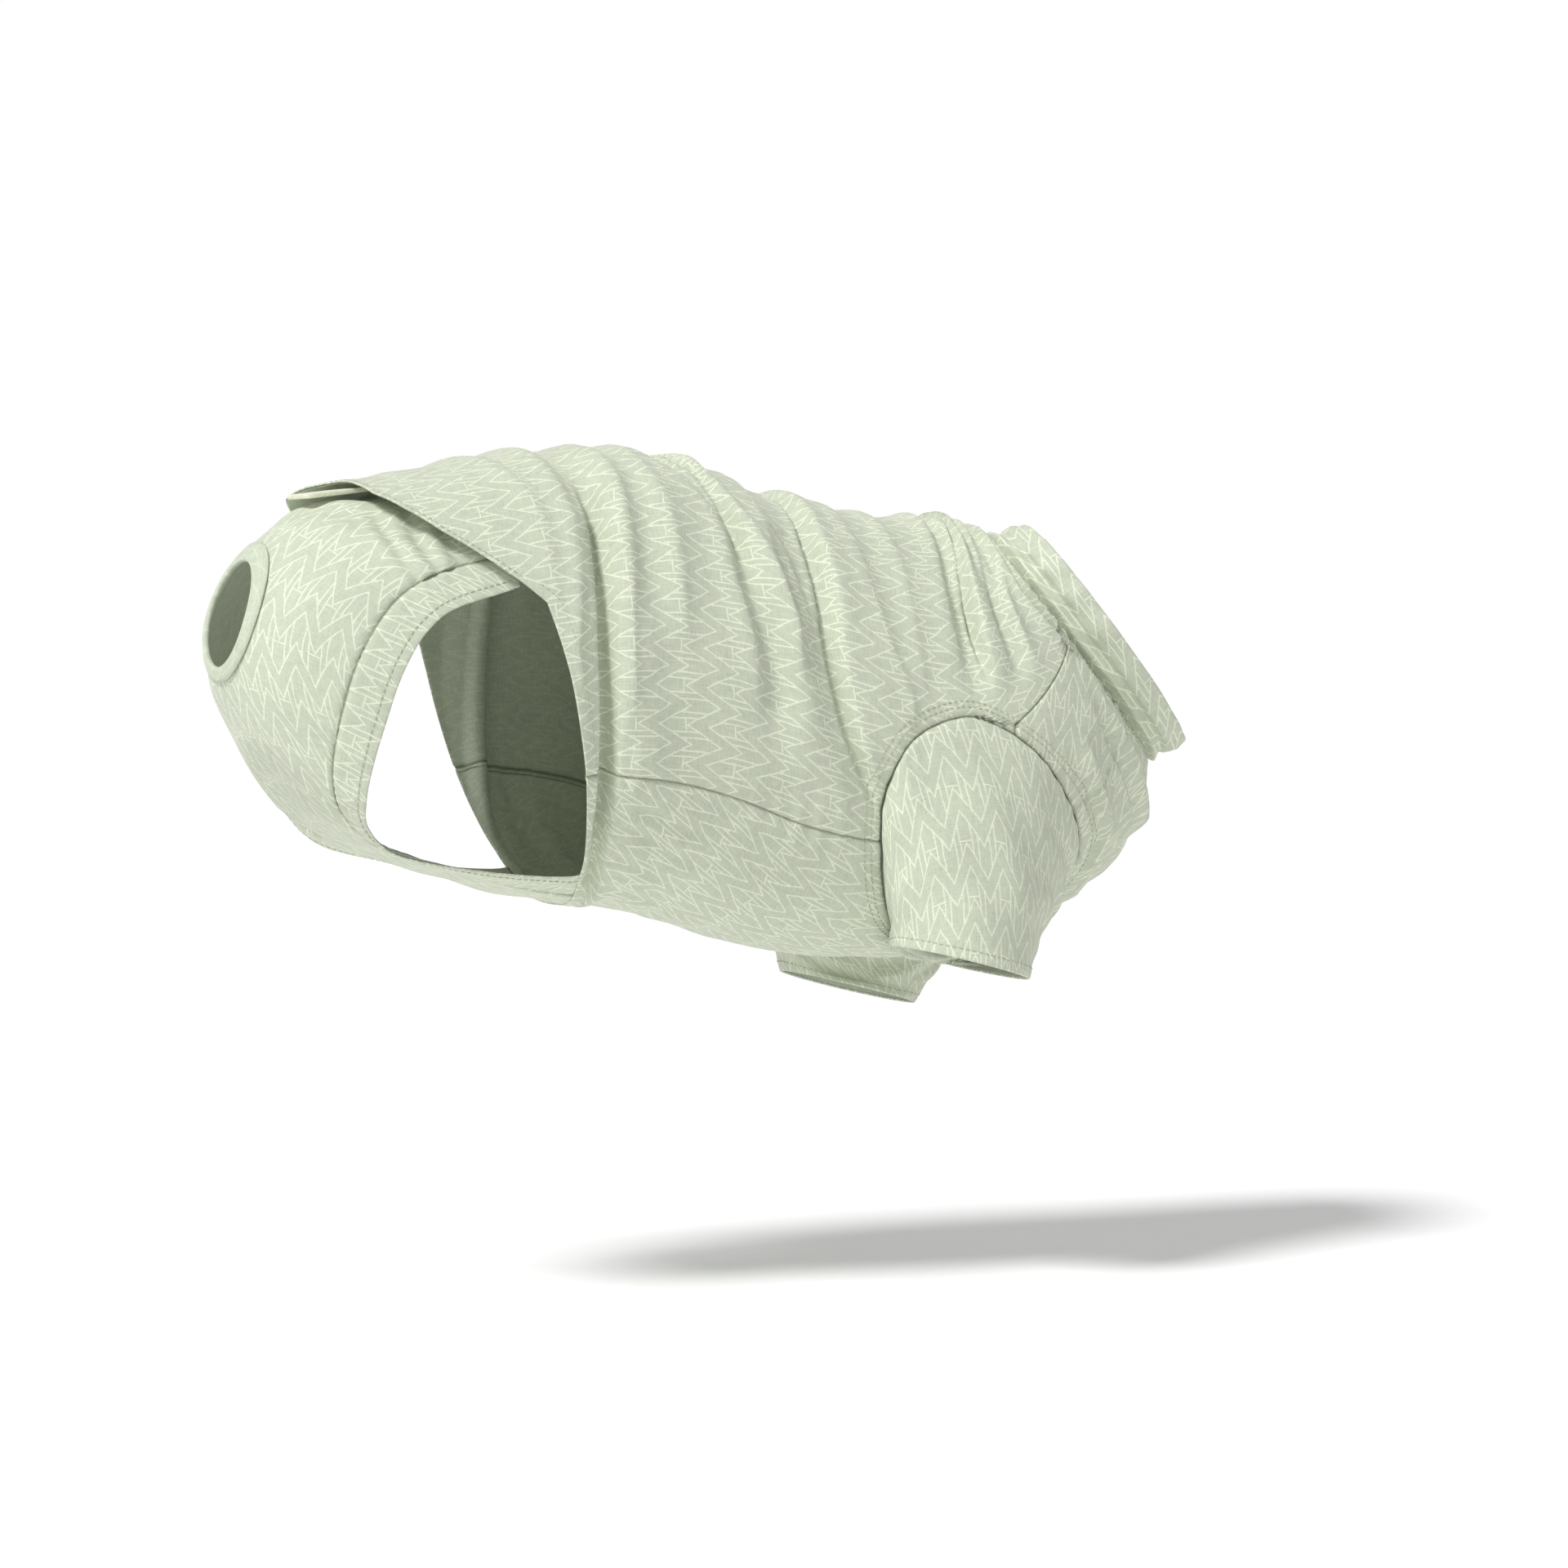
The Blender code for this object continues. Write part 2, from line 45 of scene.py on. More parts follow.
# top x, top z, low x, low z, half, level, turn
trunkRows = np.array([
    (-0.445, -0.086, -0.400, -0.800, 0.400, 0.45, 0.00),
    (-0.375, -0.064, -0.320, -0.880, 0.462, 0.46, 0.00),
    (-0.300, -0.041, -0.240, -0.905, 0.492, 0.47, 0.00),
    (-0.200, -0.008, -0.170, -0.905, 0.500, 0.48, 0.00),
    (-0.100, 0.008, -0.085, -0.908, 0.500, 0.49, 0.00),
    (0.000, -0.006, 0.010, -0.945, 0.500, 0.50, 0.00),
    (0.100, -0.052, 0.110, -1.000, 0.500, 0.52, 0.00),
    (0.200, -0.100, 0.220, -1.030, 0.500, 0.53, 0.00),
    (0.290, -0.120, 0.340, -1.028, 0.500, 0.54, 0.03),
    (0.345, -0.116, 0.480, -0.960, 0.490, 0.54, 0.12),
    (0.390, -0.138, 0.623, -0.805, 0.440, 0.52, 0.28),
    (0.430, -0.168, 0.650, -0.630, 0.352, 0.50, 0.46)])

# mid x, mid z, edge x, edge z, half
rumpRows = np.array([
    (-0.250, -0.068, -0.250, -0.280, 0.424),
    (-0.340, -0.092, -0.312, -0.315, 0.424),
    (-0.420, -0.120, -0.342, -0.358, 0.420),
    (-0.478, -0.205, -0.360, -0.408, 0.414),
    (-0.512, -0.300, -0.373, -0.462, 0.405),
    (-0.518, -0.400, -0.383, -0.526, 0.390),
    (-0.500, -0.512, -0.392, -0.602, 0.360),
    (-0.466, -0.612, -0.395, -0.680, 0.318),
    (-0.420, -0.700, -0.385, -0.740, 0.276),
    (-0.350, -0.785, -0.345, -0.795, 0.252),
    (-0.250, -0.855, -0.250, -0.840, 0.246),
    (-0.150, -0.900, -0.150, -0.880, 0.246)])

# folds that run round the trunk: depth, width, points of (along, around) in thousandths
mainFolds = [
    (1.2, 0.020, [(326, 120), (320, 330), (316, 580), (318, 720), (326, 840)]),
    (1.0, 0.023, [(572, 60), (566, 200), (560, 320), (566, 400), (582, 480), (604, 550), (648, 660)]),
    (0.8, 0.020, [(437, 50), (467, 150), (480, 250), (494, 380), (505, 480)]),
    (0.6, 0.018, [(375, 50), (380, 200), (370, 360)]),
    (0.9, 0.018, [(800, 60), (762, 180), (745, 300), (741, 360)]),
    (0.7, 0.014, [(865, 60), (825, 200), (810, 300), (815, 360)]),
    (0.8, 0.018, [(910, 620), (915, 780), (900, 920)]),
    (0.5, 0.014, [(375, 720), (395, 800), (425, 920)])]

# creases of the scene's cloth alone: face, crest, drop, far, points as above
# face 1 has its crest behind and drops towards the front, -1 the other way round
# crest and drop are in metres, far is how slowly the dip comes back up
creases = [
    (1, 0.0016, 0.0018, 0.0030, [(319, 276), (312, 376), (306, 462), (305, 541), (307, 624), (309, 700),
     (311, 783), (321, 881)]),
    (-1, 0.0030, 0.0012, 0.0022, [(336, 292), (331, 378), (327, 462), (327, 541), (327, 621), (328, 695),
     (329, 775), (337, 873)]),
    (-1, 0.0034, 0.0014, 0.0026, [(590, 40), (584, 196), (583, 292), (580, 358), (581, 415), (588, 472),
     (598, 515), (618, 572), (634, 620)]),
    (1, 0.0022, 0.0014, 0.0035, [(523, 220), (519, 282), (523, 332), (534, 372)]),
    (1, 0.0026, 0.0010, 0.0035, [(366, 60), (364, 173), (360, 256), (352, 338), (343, 419), (340, 496)]),
    (1, 0.0024, 0.0012, 0.0035, [(298, 80), (301, 205), (303, 266), (297, 338), (289, 399), (280, 461)]),
    (1, 0.0016, 0.0008, 0.0035, [(247, 50), (252, 120), (262, 190), (268, 260), (264, 340)]),
    (1, 0.0018, 0.0012, 0.0040, [(402, 60), (406, 142), (408, 185), (409, 245), (408, 312), (405, 372)]),
    (1, 0.0030, 0.0022, 0.0035, [(418, 60), (446, 125), (465, 216), (470, 266), (470, 336), (477, 381),
     (484, 435)]),
    (-1, 0.0018, 0.0010, 0.0030, [(452, 50), (471, 130), (488, 207), (498, 266), (500, 320)]),
    (1, 0.0026, 0.0020, 0.0035, [(476, 90), (490, 177), (505, 235), (513, 278), (524, 316), (531, 350)]),
    (1, 0.0018, 0.0012, 0.0030, [(520, 80), (528, 187), (541, 226), (548, 278), (554, 325)]),
    (1, 0.0014, 0.0010, 0.0035, [(634, 50), (632, 160), (630, 260), (640, 360), (655, 420)]),
    (1, 0.0014, 0.0010, 0.0040, [(690, 60), (684, 180), (676, 280), (672, 360)]),
    (1, 0.0018, 0.0014, 0.0030, [(780, 70), (760, 140), (738, 220), (727, 300)]),
    (-1, 0.0028, 0.0020, 0.0028, [(846, 57), (830, 106), (788, 206), (772, 265), (766, 315)]),
    (1, 0.0020, 0.0016, 0.0028, [(890, 60), (834, 200), (806, 280), (800, 305)]),
    (-1, 0.0022, 0.0016, 0.0026, [(930, 63), (879, 209), (848, 276), (840, 312)]),
    (1, 0.0030, 0.0026, 0.0026, [(950, 50), (901, 200), (888, 280), (906, 351), (938, 430), (962, 549),
     (968, 700)]),
    (-1, 0.0026, 0.0018, 0.0026, [(980, 80), (946, 200), (930, 280), (946, 351), (968, 420)]),
    (1, 0.0024, 0.0028, 0.0022, [(850, 660), (855, 727), (843, 775), (822, 815)]),
    (1, 0.0026, 0.0026, 0.0024, [(874, 600), (878, 690), (876, 760), (862, 827), (846, 890)]),
    (1, 0.0022, 0.0022, 0.0026, [(905, 580), (912, 680), (908, 780), (890, 860), (876, 930)]),
    (1, 0.0020, 0.0016, 0.0030, [(942, 560), (948, 660), (946, 760), (930, 880)])]

# narrow deep pleats: depth, half width, fade, points as above
slots = [
    (0.0064, 0.0030, 0.10, [(331, 240), (328, 285), (322, 377), (317, 462), (316.5, 541), (317, 622),
     (319, 697), (320, 779), (329, 877)]),
    (0.0050, 0.0021, 0.12, [(586, 80), (579, 196), (577, 292), (574, 358), (575, 415), (582, 472),
     (592, 515), (612, 572), (629, 622)]),
    (0.0048, 0.0019, 0.08, [(840, 70), (825, 106), (782, 206), (766, 265), (760, 312)]),
    (0.0036, 0.0018, 0.07, [(462, 60), (472, 110), (480, 170), (486, 240)]),
    (0.0024, 0.0016, 0.05, [(861, 660), (864, 740), (852, 800), (834, 850)])]

# folds that run along the trunk: depth, width, points as above
longFolds = [
    (0.0011, 0.0034, [(338, 690), (356, 692), (400, 716)]),
    (0.0013, 0.0036, [(322, 722), (352, 728), (410, 768)]),
    (0.0010, 0.0032, [(322, 752), (352, 756), (395, 790)]),
    (0.0012, 0.0036, [(325, 784), (357, 790), (406, 830)]),
    (0.0010, 0.0034, [(330, 820), (360, 826), (405, 866)]),
    (0.0012, 0.0036, [(332, 856), (363, 866), (413, 905)])]

# points of (around, along) on the trunk's rear and front edges
rearEdge = np.array([(0.000, 0.090), (0.070, 0.088), (0.136, 0.092), (0.200, 0.118), (0.260, 0.152),
                     (0.320, 0.195), (0.400, 0.250), (0.500, 0.268), (0.650, 0.290), (0.800, 0.310),
                     (1.000, 0.328)])
frontEdge = np.array([(0.000, 1.000), (0.400, 1.000), (0.420, 0.935), (0.440, 0.860), (0.465, 0.785),
                      (0.600, 0.755), (1.000, 0.755)])

# points of (along, around)
armhole = np.array([(0.842, 0.690), (0.812, 0.530), (0.730, 0.442), (0.648, 0.490),
                    (0.622, 0.610), (0.652, 0.790), (0.738, 0.893), (0.820, 0.840)])
armCentre = np.array([0.738, 0.665])

seams = {"side": 0.645, "crotch": 0.845, "flapSkew": 0.045, "flapCorner": 0.36, "slantStart": 0.395,
         "slantEnd": 0.47, "slantShare": 0.45}
cuff = {"x": 0.312, "y": 0.385, "z": -1.034, "tilt": radians(-15), "diameter": 0.064, "bulge": 0.007,
        "underside": 0.55, "leftDrop": 0.019, "leftForward": 0.007}
rump = {"wrap": radians(80), "meeting": 0.80, "bandWidth": 0.018, "run": 0.34, "halfWidth": 0.055}
tail = {"place": 0.39, "tilt": radians(80), "diameter": 0.044}
trunkRun = (trunkRows[-1][0] - trunkRows[0][0]) * suit["length"]
girthRun = 0.29  # metres for one unit around, about half the girth
armRun = 0.036  # metres for one radian of the armhole
step = 0.002


# A curve's point between its points p1 and p2.
def splinePoint(p0, p1, p2, p3, t):
    return 0.5 * (2 * p1 + (p2 - p0) * t + (2 * p0 - 5 * p1 + 4 * p2 - p3) * t * t
                  + (3 * p1 - p0 - 3 * p2 + p3) * t ** 3)


def curveAt(values, share):
    values = np.asarray(values, float)
    spans = len(values) - 1
    place = np.asarray(share, float) * spans
    k = np.clip(np.floor(place).astype(int), 0, spans - 1)
    row = np.concatenate([[2 * values[0] - values[1]], values, [2 * values[-1] - values[-2]]])
    return splinePoint(*(row[k + i] for i in range(4)), place - k)


def ease(t):
    t = np.clip(t, 0.0, 1.0)
    return t * t * (3 - 2 * t)


def bell(t):
    return np.exp(-t ** 2)


def unit(v):
    return v / np.maximum(np.linalg.norm(v, axis=-1, keepdims=True), 1e-12)


def grid(turns, places):
    return np.meshgrid(turns, places, indexing="ij")


def summed(lengths, axis):
    return np.insert(np.cumsum(lengths, axis=axis), 0, 0.0, axis=axis)


# Metres run along an axis of a grid of points.
def runs(points, axis):
    return summed(np.linalg.norm(np.diff(points, axis=axis), axis=-1), axis)


def smoothTrunk(along, around):
    along, around = np.broadcast_arrays(np.asarray(along, float), np.asarray(around, float))
    topX, topZ, lowX, lowZ, half, level, turn = (curveAt(trunkRows[:, k], along) for k in range(7))
    angle = np.abs(around) * pi
    down = np.clip((1 - np.cos(angle)) / 2, 0, 1) ** (np.log(level) / log(0.5))
    y = half * suit["width"] * np.clip(np.sin(angle), 0, 1) ** suit["roundness"] * np.sign(around)
    x = (topX + (lowX - topX) * down) * suit["length"] + y * turn
    z = (topZ + (lowZ - topZ) * down) * suit["depth"]
    return np.stack([x, y, z], axis=-1)


def trunkNormal(along, around):
    side = np.where(np.asarray(around) < 0, -1.0, 1.0)
    place = np.clip(np.abs(around), step, 1 - step) * side
    run = smoothTrunk(along + step, place) - smoothTrunk(along - step, place)
    turn = smoothTrunk(along, place + step) - smoothTrunk(along, place - step)
    return unit(np.cross(run, turn))


# Where a fold's path runs at these places, and how much of the fold is left past the path's two ends.
def followed(path, place, startFade, endFade, overSpine=0.0):
    centres, places = np.array(path).T / 1000
    start = 1.0 if places[0] < overSpine else ease((place - places[0]) / startFade + 1)
    return np.interp(place, places, centres), start * ease((places[-1] - place) / endFade + 1)


def mainFoldDepth(along, around):
    place = np.abs(around)
    sink = np.zeros(np.broadcast(along, around).shape)
    for depth, width, path in mainFolds:
        centre, ends = followed(path, place, suit["foldFade"], suit["foldFade"])
        reach = (along - centre) * trunkRun / (width * suit["length"])
        ridge = suit["foldRidge"] * bell(reach - suit["ridgePlace"])
        sink = sink + depth * ends * (bell(reach) - ridge)
    return sink * suit["foldDepth"]


crease = {"slip": 0.012, "slipFade": 0.12, "overSpine": 0.1, "startFade": 0.06, "endFade": 0.10,
          "slotFade": 0.02, "behind": 0.0065, "ahead": 0.013, "beside": 0.009}
longFold = {"startFade": 0.02, "endFade": 0.07, "ridge": 0.5, "ridgePlace": 1.8}
# the roll of cloth where the pleat goes under the belly panel
bellyRoll = {"along": 0.336, "around": 0.915, "height": 0.0034, "halfLength": 0.0055, "halfWidth": 0.020}


def creaseProfile(along, around):
    place = np.abs(around)
    slip = np.where(np.asarray(around) > 0, crease["slip"] * np.sin(9 * place + 1), 0.0)  # left side only
    slip = slip * ease(place / crease["slipFade"])
    rise = np.zeros(np.broadcast(along, around).shape)
    for face, crest, drop, far, path in creases:
        centre, ends = followed(path, place, crease["startFade"], crease["endFade"], crease["overSpine"])
        reach = (along + slip - centre) * trunkRun * face
        ahead = np.maximum(reach, 0)
        down = np.exp(-ahead / far)
        fall = crest * down - drop * (1 - down) * bell(ahead / crease["ahead"])
        rise = rise + ends * np.where(reach < 0, crest * bell(reach / crease["behind"]), fall)
    for depth, half, fade, path in slots:
        centre, ends = followed(path, place, fade, fade + crease["slotFade"], crease["overSpine"])
        reach = (along + slip - centre) * trunkRun / half
        rise = rise - depth * ends * np.exp(-reach ** 4)
    tuck = (((along - bellyRoll["along"]) * trunkRun / bellyRoll["halfLength"]) ** 2
            + ((place - bellyRoll["around"]) * girthRun / bellyRoll["halfWidth"]) ** 2)
    rise = rise + bellyRoll["height"] * np.exp(-tuck)
    for depth, width, path in longFolds:
        path = [point[::-1] for point in path]
        centre, ends = followed(path, along, longFold["startFade"], longFold["endFade"])
        reach = (place - centre) * girthRun / width
        rise = rise - depth * ends * (bell(reach) - longFold["ridge"] * bell(reach - longFold["ridgePlace"]))
    return rise


# The same, evened out a little round the trunk so that no fold ends in a step.
def creaseHeight(along, around):
    beside = crease["beside"]
    return (0.5 * creaseProfile(along, around) + 0.25 * creaseProfile(along, around - beside)
            + 0.25 * creaseProfile(along, around + beside))


def trunkPoint(along, around):
    return smoothTrunk(along, around) - trunkNormal(along, around) * mainFoldDepth(along, around)[..., None]


# Low, wide unevenness of worn cloth, mostly in folds that run round the trunk.
def slack(along, around, seed=3, waves=14, height=0.0052):
    random = np.random.default_rng(seed)
    total = np.zeros(np.broadcast(along, around).shape)
    u, v = along * trunkRun, around * girthRun
    for wave in range(waves):
        length = random.uniform(0.012, 0.036)
        heading = random.normal(0, 0.35)
        phase = random.uniform(0, 2 * pi)
        swell = 0.5 + 0.5 * np.sin(2 * pi * (v * cos(heading) / 0.11 + u / 0.17) + phase * 3)
        ripple = np.sin(2 * pi * (u * cos(heading) + v * sin(heading)) / length + phase)
        total = total + swell * ripple * length
    return total * height


# tables of lengths on the smooth trunk, for the print
tableSize, tableStart = 256, -0.02
tablePoints = smoothTrunk(*grid(np.linspace(tableStart, 1.0, tableSize), np.linspace(0.0, 1.0, tableSize)))
runTable, turnTable = runs(tablePoints, 0), runs(tablePoints, 1)
runTable -= runTable[tableSize // 2]


def readTable(table, along, around):
    last = tableSize - 1
    a = np.clip((along - tableStart) / (1 - tableStart) * last, 0, last - 0.001)
    b = np.clip(np.abs(around) * last, 0, last - 0.001)
    i, j = a.astype(int), b.astype(int)
    a, b = a - i, b - j
    return (table[i, j] * (1 - a) * (1 - b) + table[i + 1, j] * a * (1 - b)
            + table[i, j + 1] * (1 - a) * b + table[i + 1, j + 1] * a * b)


def rearPlace(around):
    place = np.interp(np.abs(around), rearEdge[:, 0], rearEdge[:, 1])
    skew = seams["flapSkew"] * np.sin(pi * np.clip(around / seams["flapCorner"], 0, 1))
    return place - np.where(np.asarray(around) > 0, skew, 0)


def frontPlace(around):
    return np.interp(np.abs(around), frontEdge[:, 0], frontEdge[:, 1])


# Place along and around on the armhole's loop; around is its distance from the spine on either side.
def loopAt(turn):
    place = np.asarray(turn) / (2 * pi) * len(armhole)
    k = np.floor(place).astype(int)
    return splinePoint(*(armhole[(k + i) % len(armhole)] for i in (-1, 0, 1, 2)), (place - k)[..., None])


loopTurns = np.linspace(0, 2 * pi, 721)
loopShape = (loopAt(loopTurns) - armCentre) * [trunkRun, girthRun]
loopAngles = np.unwrap(np.arctan2(loopShape[:, 1], loopShape[:, 0]))
loopSign = np.sign(loopAngles[-1] - loopAngles[0])
loopRadii = np.linalg.norm(loopShape, axis=1)


# 1 on the armhole's edge and less inside it, with the turn on the loop in that direction.
def armholeRatio(along, around):
    x = (along - armCentre[0]) * trunkRun
    y = (np.abs(around) - armCentre[1]) * girthRun
    past = (loopSign * (np.arctan2(y, x) - loopAngles[0])) % (2 * pi)
    rising = loopSign * (loopAngles - loopAngles[0])
    return np.hypot(x, y) / np.interp(past, rising, loopRadii), np.interp(past, rising, loopTurns)


# Metres from the armhole's seam, and the turn on its loop.
def fromArmhole(along, around):
    turn = armholeRatio(along, around)[1]
    edge = loopAt(turn)
    return np.hypot((along - edge[..., 0]) * trunkRun, (np.abs(around) - edge[..., 1]) * girthRun), turn


# Metres from the seam in front, which starts at a place around and is slanted on a part of its way.
def fromFrontSeam(along, around, start):
    place = np.abs(around)
    front = np.abs(frontPlace(around) - along) * trunkRun
    slanted = (place > seams["slantStart"]) & (place < seams["slantEnd"])
    return np.where(place > start, np.where(slanted, front * seams["slantShare"], front), 1.0)


def rumpPoint(along, across):
    along, across = np.broadcast_arrays(np.asarray(along, float), np.asarray(across, float))
    midX, midZ, edgeX, edgeZ, half = (curveAt(rumpRows[:, k], along) for k in range(5))
    angle = across * rump["wrap"]
    inward = (1 - np.cos(angle)) / (1 - cos(rump["wrap"]))
    x = (midX + (edgeX - midX) * inward) * suit["length"]
    z = (midZ + (edgeZ - midZ) * inward) * suit["depth"]
    y = half * suit["width"] * np.sin(angle) / sin(rump["wrap"])
    around = (1 - np.abs(across) * (1 - seams["crotch"])) * np.where(across < 0, -1, 1)
    meeting = trunkPoint(rearPlace(around), around)
    mix = ease((along - rump["meeting"]) / (1 - rump["meeting"]))[..., None]
    return np.stack([x, y, z], axis=-1) * (1 - mix) + meeting * mix


def bandSeam(along):
    points = rumpPoint(np.asarray(along)[..., None], np.linspace(0, 1, 9))
    length = np.linalg.norm(np.diff(points, axis=-2), axis=-1).sum(axis=-1)
    return 1 - rump["bandWidth"] / length


# making a piece of cloth

# Evenly spaced shares; tight, a share too, adds a few closer ones at the end and at a fine start.
def spread(start, end, count, tight=None, fineStart=True):
    rows = list(np.linspace(start, end, count))
    near = [0.25, 0.6, 1.1, 1.8]
    if tight and fineStart:
        rows += [start + tight * k for k in near]
    if tight:
        rows += [end - tight * k for k in near]
    return np.array(sorted(rows))


def gridNormals(points):
    return unit(np.cross(np.gradient(points, axis=1), np.gradient(points, axis=0)))


# Metres along and across the smooth cloth, measured from its middle lines.
def arcPlaces(points):
    run, turn = runs(points, 1), runs(points, 0)
    middleRow, middleColumn = points.shape[0] // 2, points.shape[1] // 2
    return run - run[:, middleColumn:middleColumn + 1], turn - turn[middleRow:middleRow + 1, :]


# The same print with less slant where a panel widens, at the cost of a little stretch.
def evened(uv, alongShare=0.0, acrossShare=0.0):
    u, v = uv
    middleRow, middleColumn = u.shape[0] // 2, u.shape[1] // 2
    return u + alongShare * (u[middleRow] - u), v + acrossShare * (v[:, middleColumn:middleColumn + 1] - v)


# The corners inside a hole that share a face with corners outside it.
def besideEdge(inside):
    cell = inside[:-1, :-1].astype(int) + inside[1:, :-1] + inside[:-1, 1:] + inside[1:, 1:]
    part = (cell > 0) & (cell < 4)
    mixed = np.zeros_like(inside)
    for dt in (0, 1):
        for ds in (0, 1):
            mixed[dt:dt + part.shape[0], ds:ds + part.shape[1]] |= part
    return inside & mixed


# A sheet from a grid of points [t, s], without the faces whose corners are all in a hole.
def makeCloth(name, points, uv, seamShade, hole=None, wall=None):
    rows, columns = points.shape[:2]
    mesh = bmesh.new()
    bmesh.ops.create_grid(mesh, x_segments=columns - 1, y_segments=rows - 1, size=0.5)
    start = np.array([vert.co[:2] for vert in mesh.verts]) + 0.5
    s = np.rint(start[:, 0] * (columns - 1)).astype(int)
    t = np.rint(start[:, 1] * (rows - 1)).astype(int)
    layer = mesh.loops.layers.uv.new("cloth")
    # the mask of the painted seam shade, read by the cloth material
    shadeLayer = mesh.verts.layers.float.new("seam")
    flatU, flatV = uv[0][t, s], uv[1][t, s]
    for vert, place, shade in zip(mesh.verts, points[t, s], seamShade[t, s]):
        vert.co = place
        vert[shadeLayer] = shade
    for face in mesh.faces:
        for loop in face.loops:
            k = loop.vert.index
            loop[layer].uv = (flatU[k], flatV[k])
    if hole is not None:
        gone = hole[t, s]
        faces = [f for f in mesh.faces if all(gone[v.index] for v in f.verts)]
        bmesh.ops.delete(mesh, geom=faces, context="FACES")
    bmesh.ops.remove_doubles(mesh, verts=mesh.verts, dist=0.00002)
    return finishPiece(name, mesh, [printCloth, innerCloth], wall or suit["wall"])


def addObject(name, data):
    thing = bpy.data.objects.new(name, data)
    bpy.context.collection.objects.link(thing)
    return thing


def toObject(name, mesh, looks):
    data = bpy.data.meshes.new(name)
    mesh.to_mesh(data)
    mesh.free()
    for look in looks:
        data.materials.append(look)
    return addObject(name, data)


def finishPiece(name, mesh, looks, wall=0.0):
    piece = toObject(name, mesh, looks)
    piece.data.shade_smooth()
    if wall:
        thick = piece.modifiers.new("wall", "SOLIDIFY")
        thick.thickness = wall
        thick.offset = -1
        thick.use_even_offset = False
        thick.material_offset = 1
    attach(piece, "root")
    return piece


def turned(uv, degrees):
    c, s = cos(radians(degrees)), sin(radians(degrees))
    return uv[0] * c - uv[1] * s, uv[0] * s + uv[1] * c


def groove(distance, width=0.0011, depth=0.0010):
    return -depth * bell(distance / width)


# Mask of the painted seam shade: 1 on a seam, gone within about a millimetre.
def seamLine(distance, width=0.00045):
    return bell(distance / width)


def roundedEdge(distance, radius=0.0007):
    d = np.clip(distance / radius, 0, 1)
    return -radius * (1 - np.sqrt(np.clip(1 - (1 - d) ** 2, 0, 1)))


# A turned hem: raised over its width, sunk at its stitch line, rounded at its edge.
def hem(distance, width, rise=0.0006, stitchIn=0.0012):
    body = rise * ease((width - distance) / 0.0010 + 0.5)
    line = -0.0005 * bell((distance - (width - stitchIn)) / 0.0007)
    return body + line + roundedEdge(distance)


# Small gathers beside a seam, fading away from it.
def pucker(place, distance, length=0.0075, depth=0.00028, reach=0.007, seed=1):
    wave = np.sin(2 * pi * place / length + 1.3 * np.sin(place * 61 + seed)) * np.sin(place * 37 + seed * 2)
    return wave * depth * np.exp(-distance / reach)


# materials

# A node's output. Arithmetic on outputs makes the nodes that work it out.
class wire:
    def __init__(self, tree, socket):
        self.tree, self.socket = tree, socket

    def __getitem__(self, label):  # another output of the same node
        return wire(self.tree, self.socket.node.outputs[label])

    def __add__(self, other):
        return mathNode("ADD", self, other)

    def __sub__(self, other):
        return mathNode("SUBTRACT", self, other)

    def __rsub__(self, other):
        return mathNode("SUBTRACT", other, self)

    def __mul__(self, other):
        return mathNode("MULTIPLY", self, other)

    def __truediv__(self, other):
        return mathNode("DIVIDE", self, other)

    def __abs__(self):
        return mathNode("ABSOLUTE", self)


def mathNode(operation, *inputs, clamp=False):
    tree = next(item.tree for item in inputs if isinstance(item, wire))
    return addNode(tree, "ShaderNodeMath", dict(enumerate(inputs)), operation=operation, use_clamp=clamp)


def setInputs(tree, node, inputs):
    for label, item in inputs.items():
        socket = node.inputs[label]
        if isinstance(item, wire):
            tree.links.new(item.socket, socket)
        else:
            socket.default_value = (*item, 1) if socket.type == "RGBA" else item


def addNode(tree, kind, inputs=None, output=0, **values):
    node = tree.nodes.new(kind)
    for key, value in values.items():
        setattr(node, key, value)
    setInputs(tree, node, inputs or {})
    return wire(tree, node.outputs[output])


def mixColour(tree, factor, first, second):
    return addNode(tree, "ShaderNodeMix", {0: factor, 6: first, 7: second}, output=2, data_type="RGBA")


# A node group; an input without a value is a vector.
def newGroup(name, inputs, outputs):
    group = bpy.data.node_groups.new(name, "ShaderNodeTree")
    for label, value in inputs.items():
        kind = "NodeSocketFloat" if value else "NodeSocketVector"
        socket = group.interface.new_socket(name=label, in_out="INPUT", socket_type=kind)
        if value:
            socket.default_value = value
    for label in outputs:
        group.interface.new_socket(name=label, in_out="OUTPUT", socket_type="NodeSocketFloat")
    start, end = group.nodes.new("NodeGroupInput"), group.nodes.new("NodeGroupOutput")
    return group, [wire(group, start.outputs[label]) for label in inputs], end


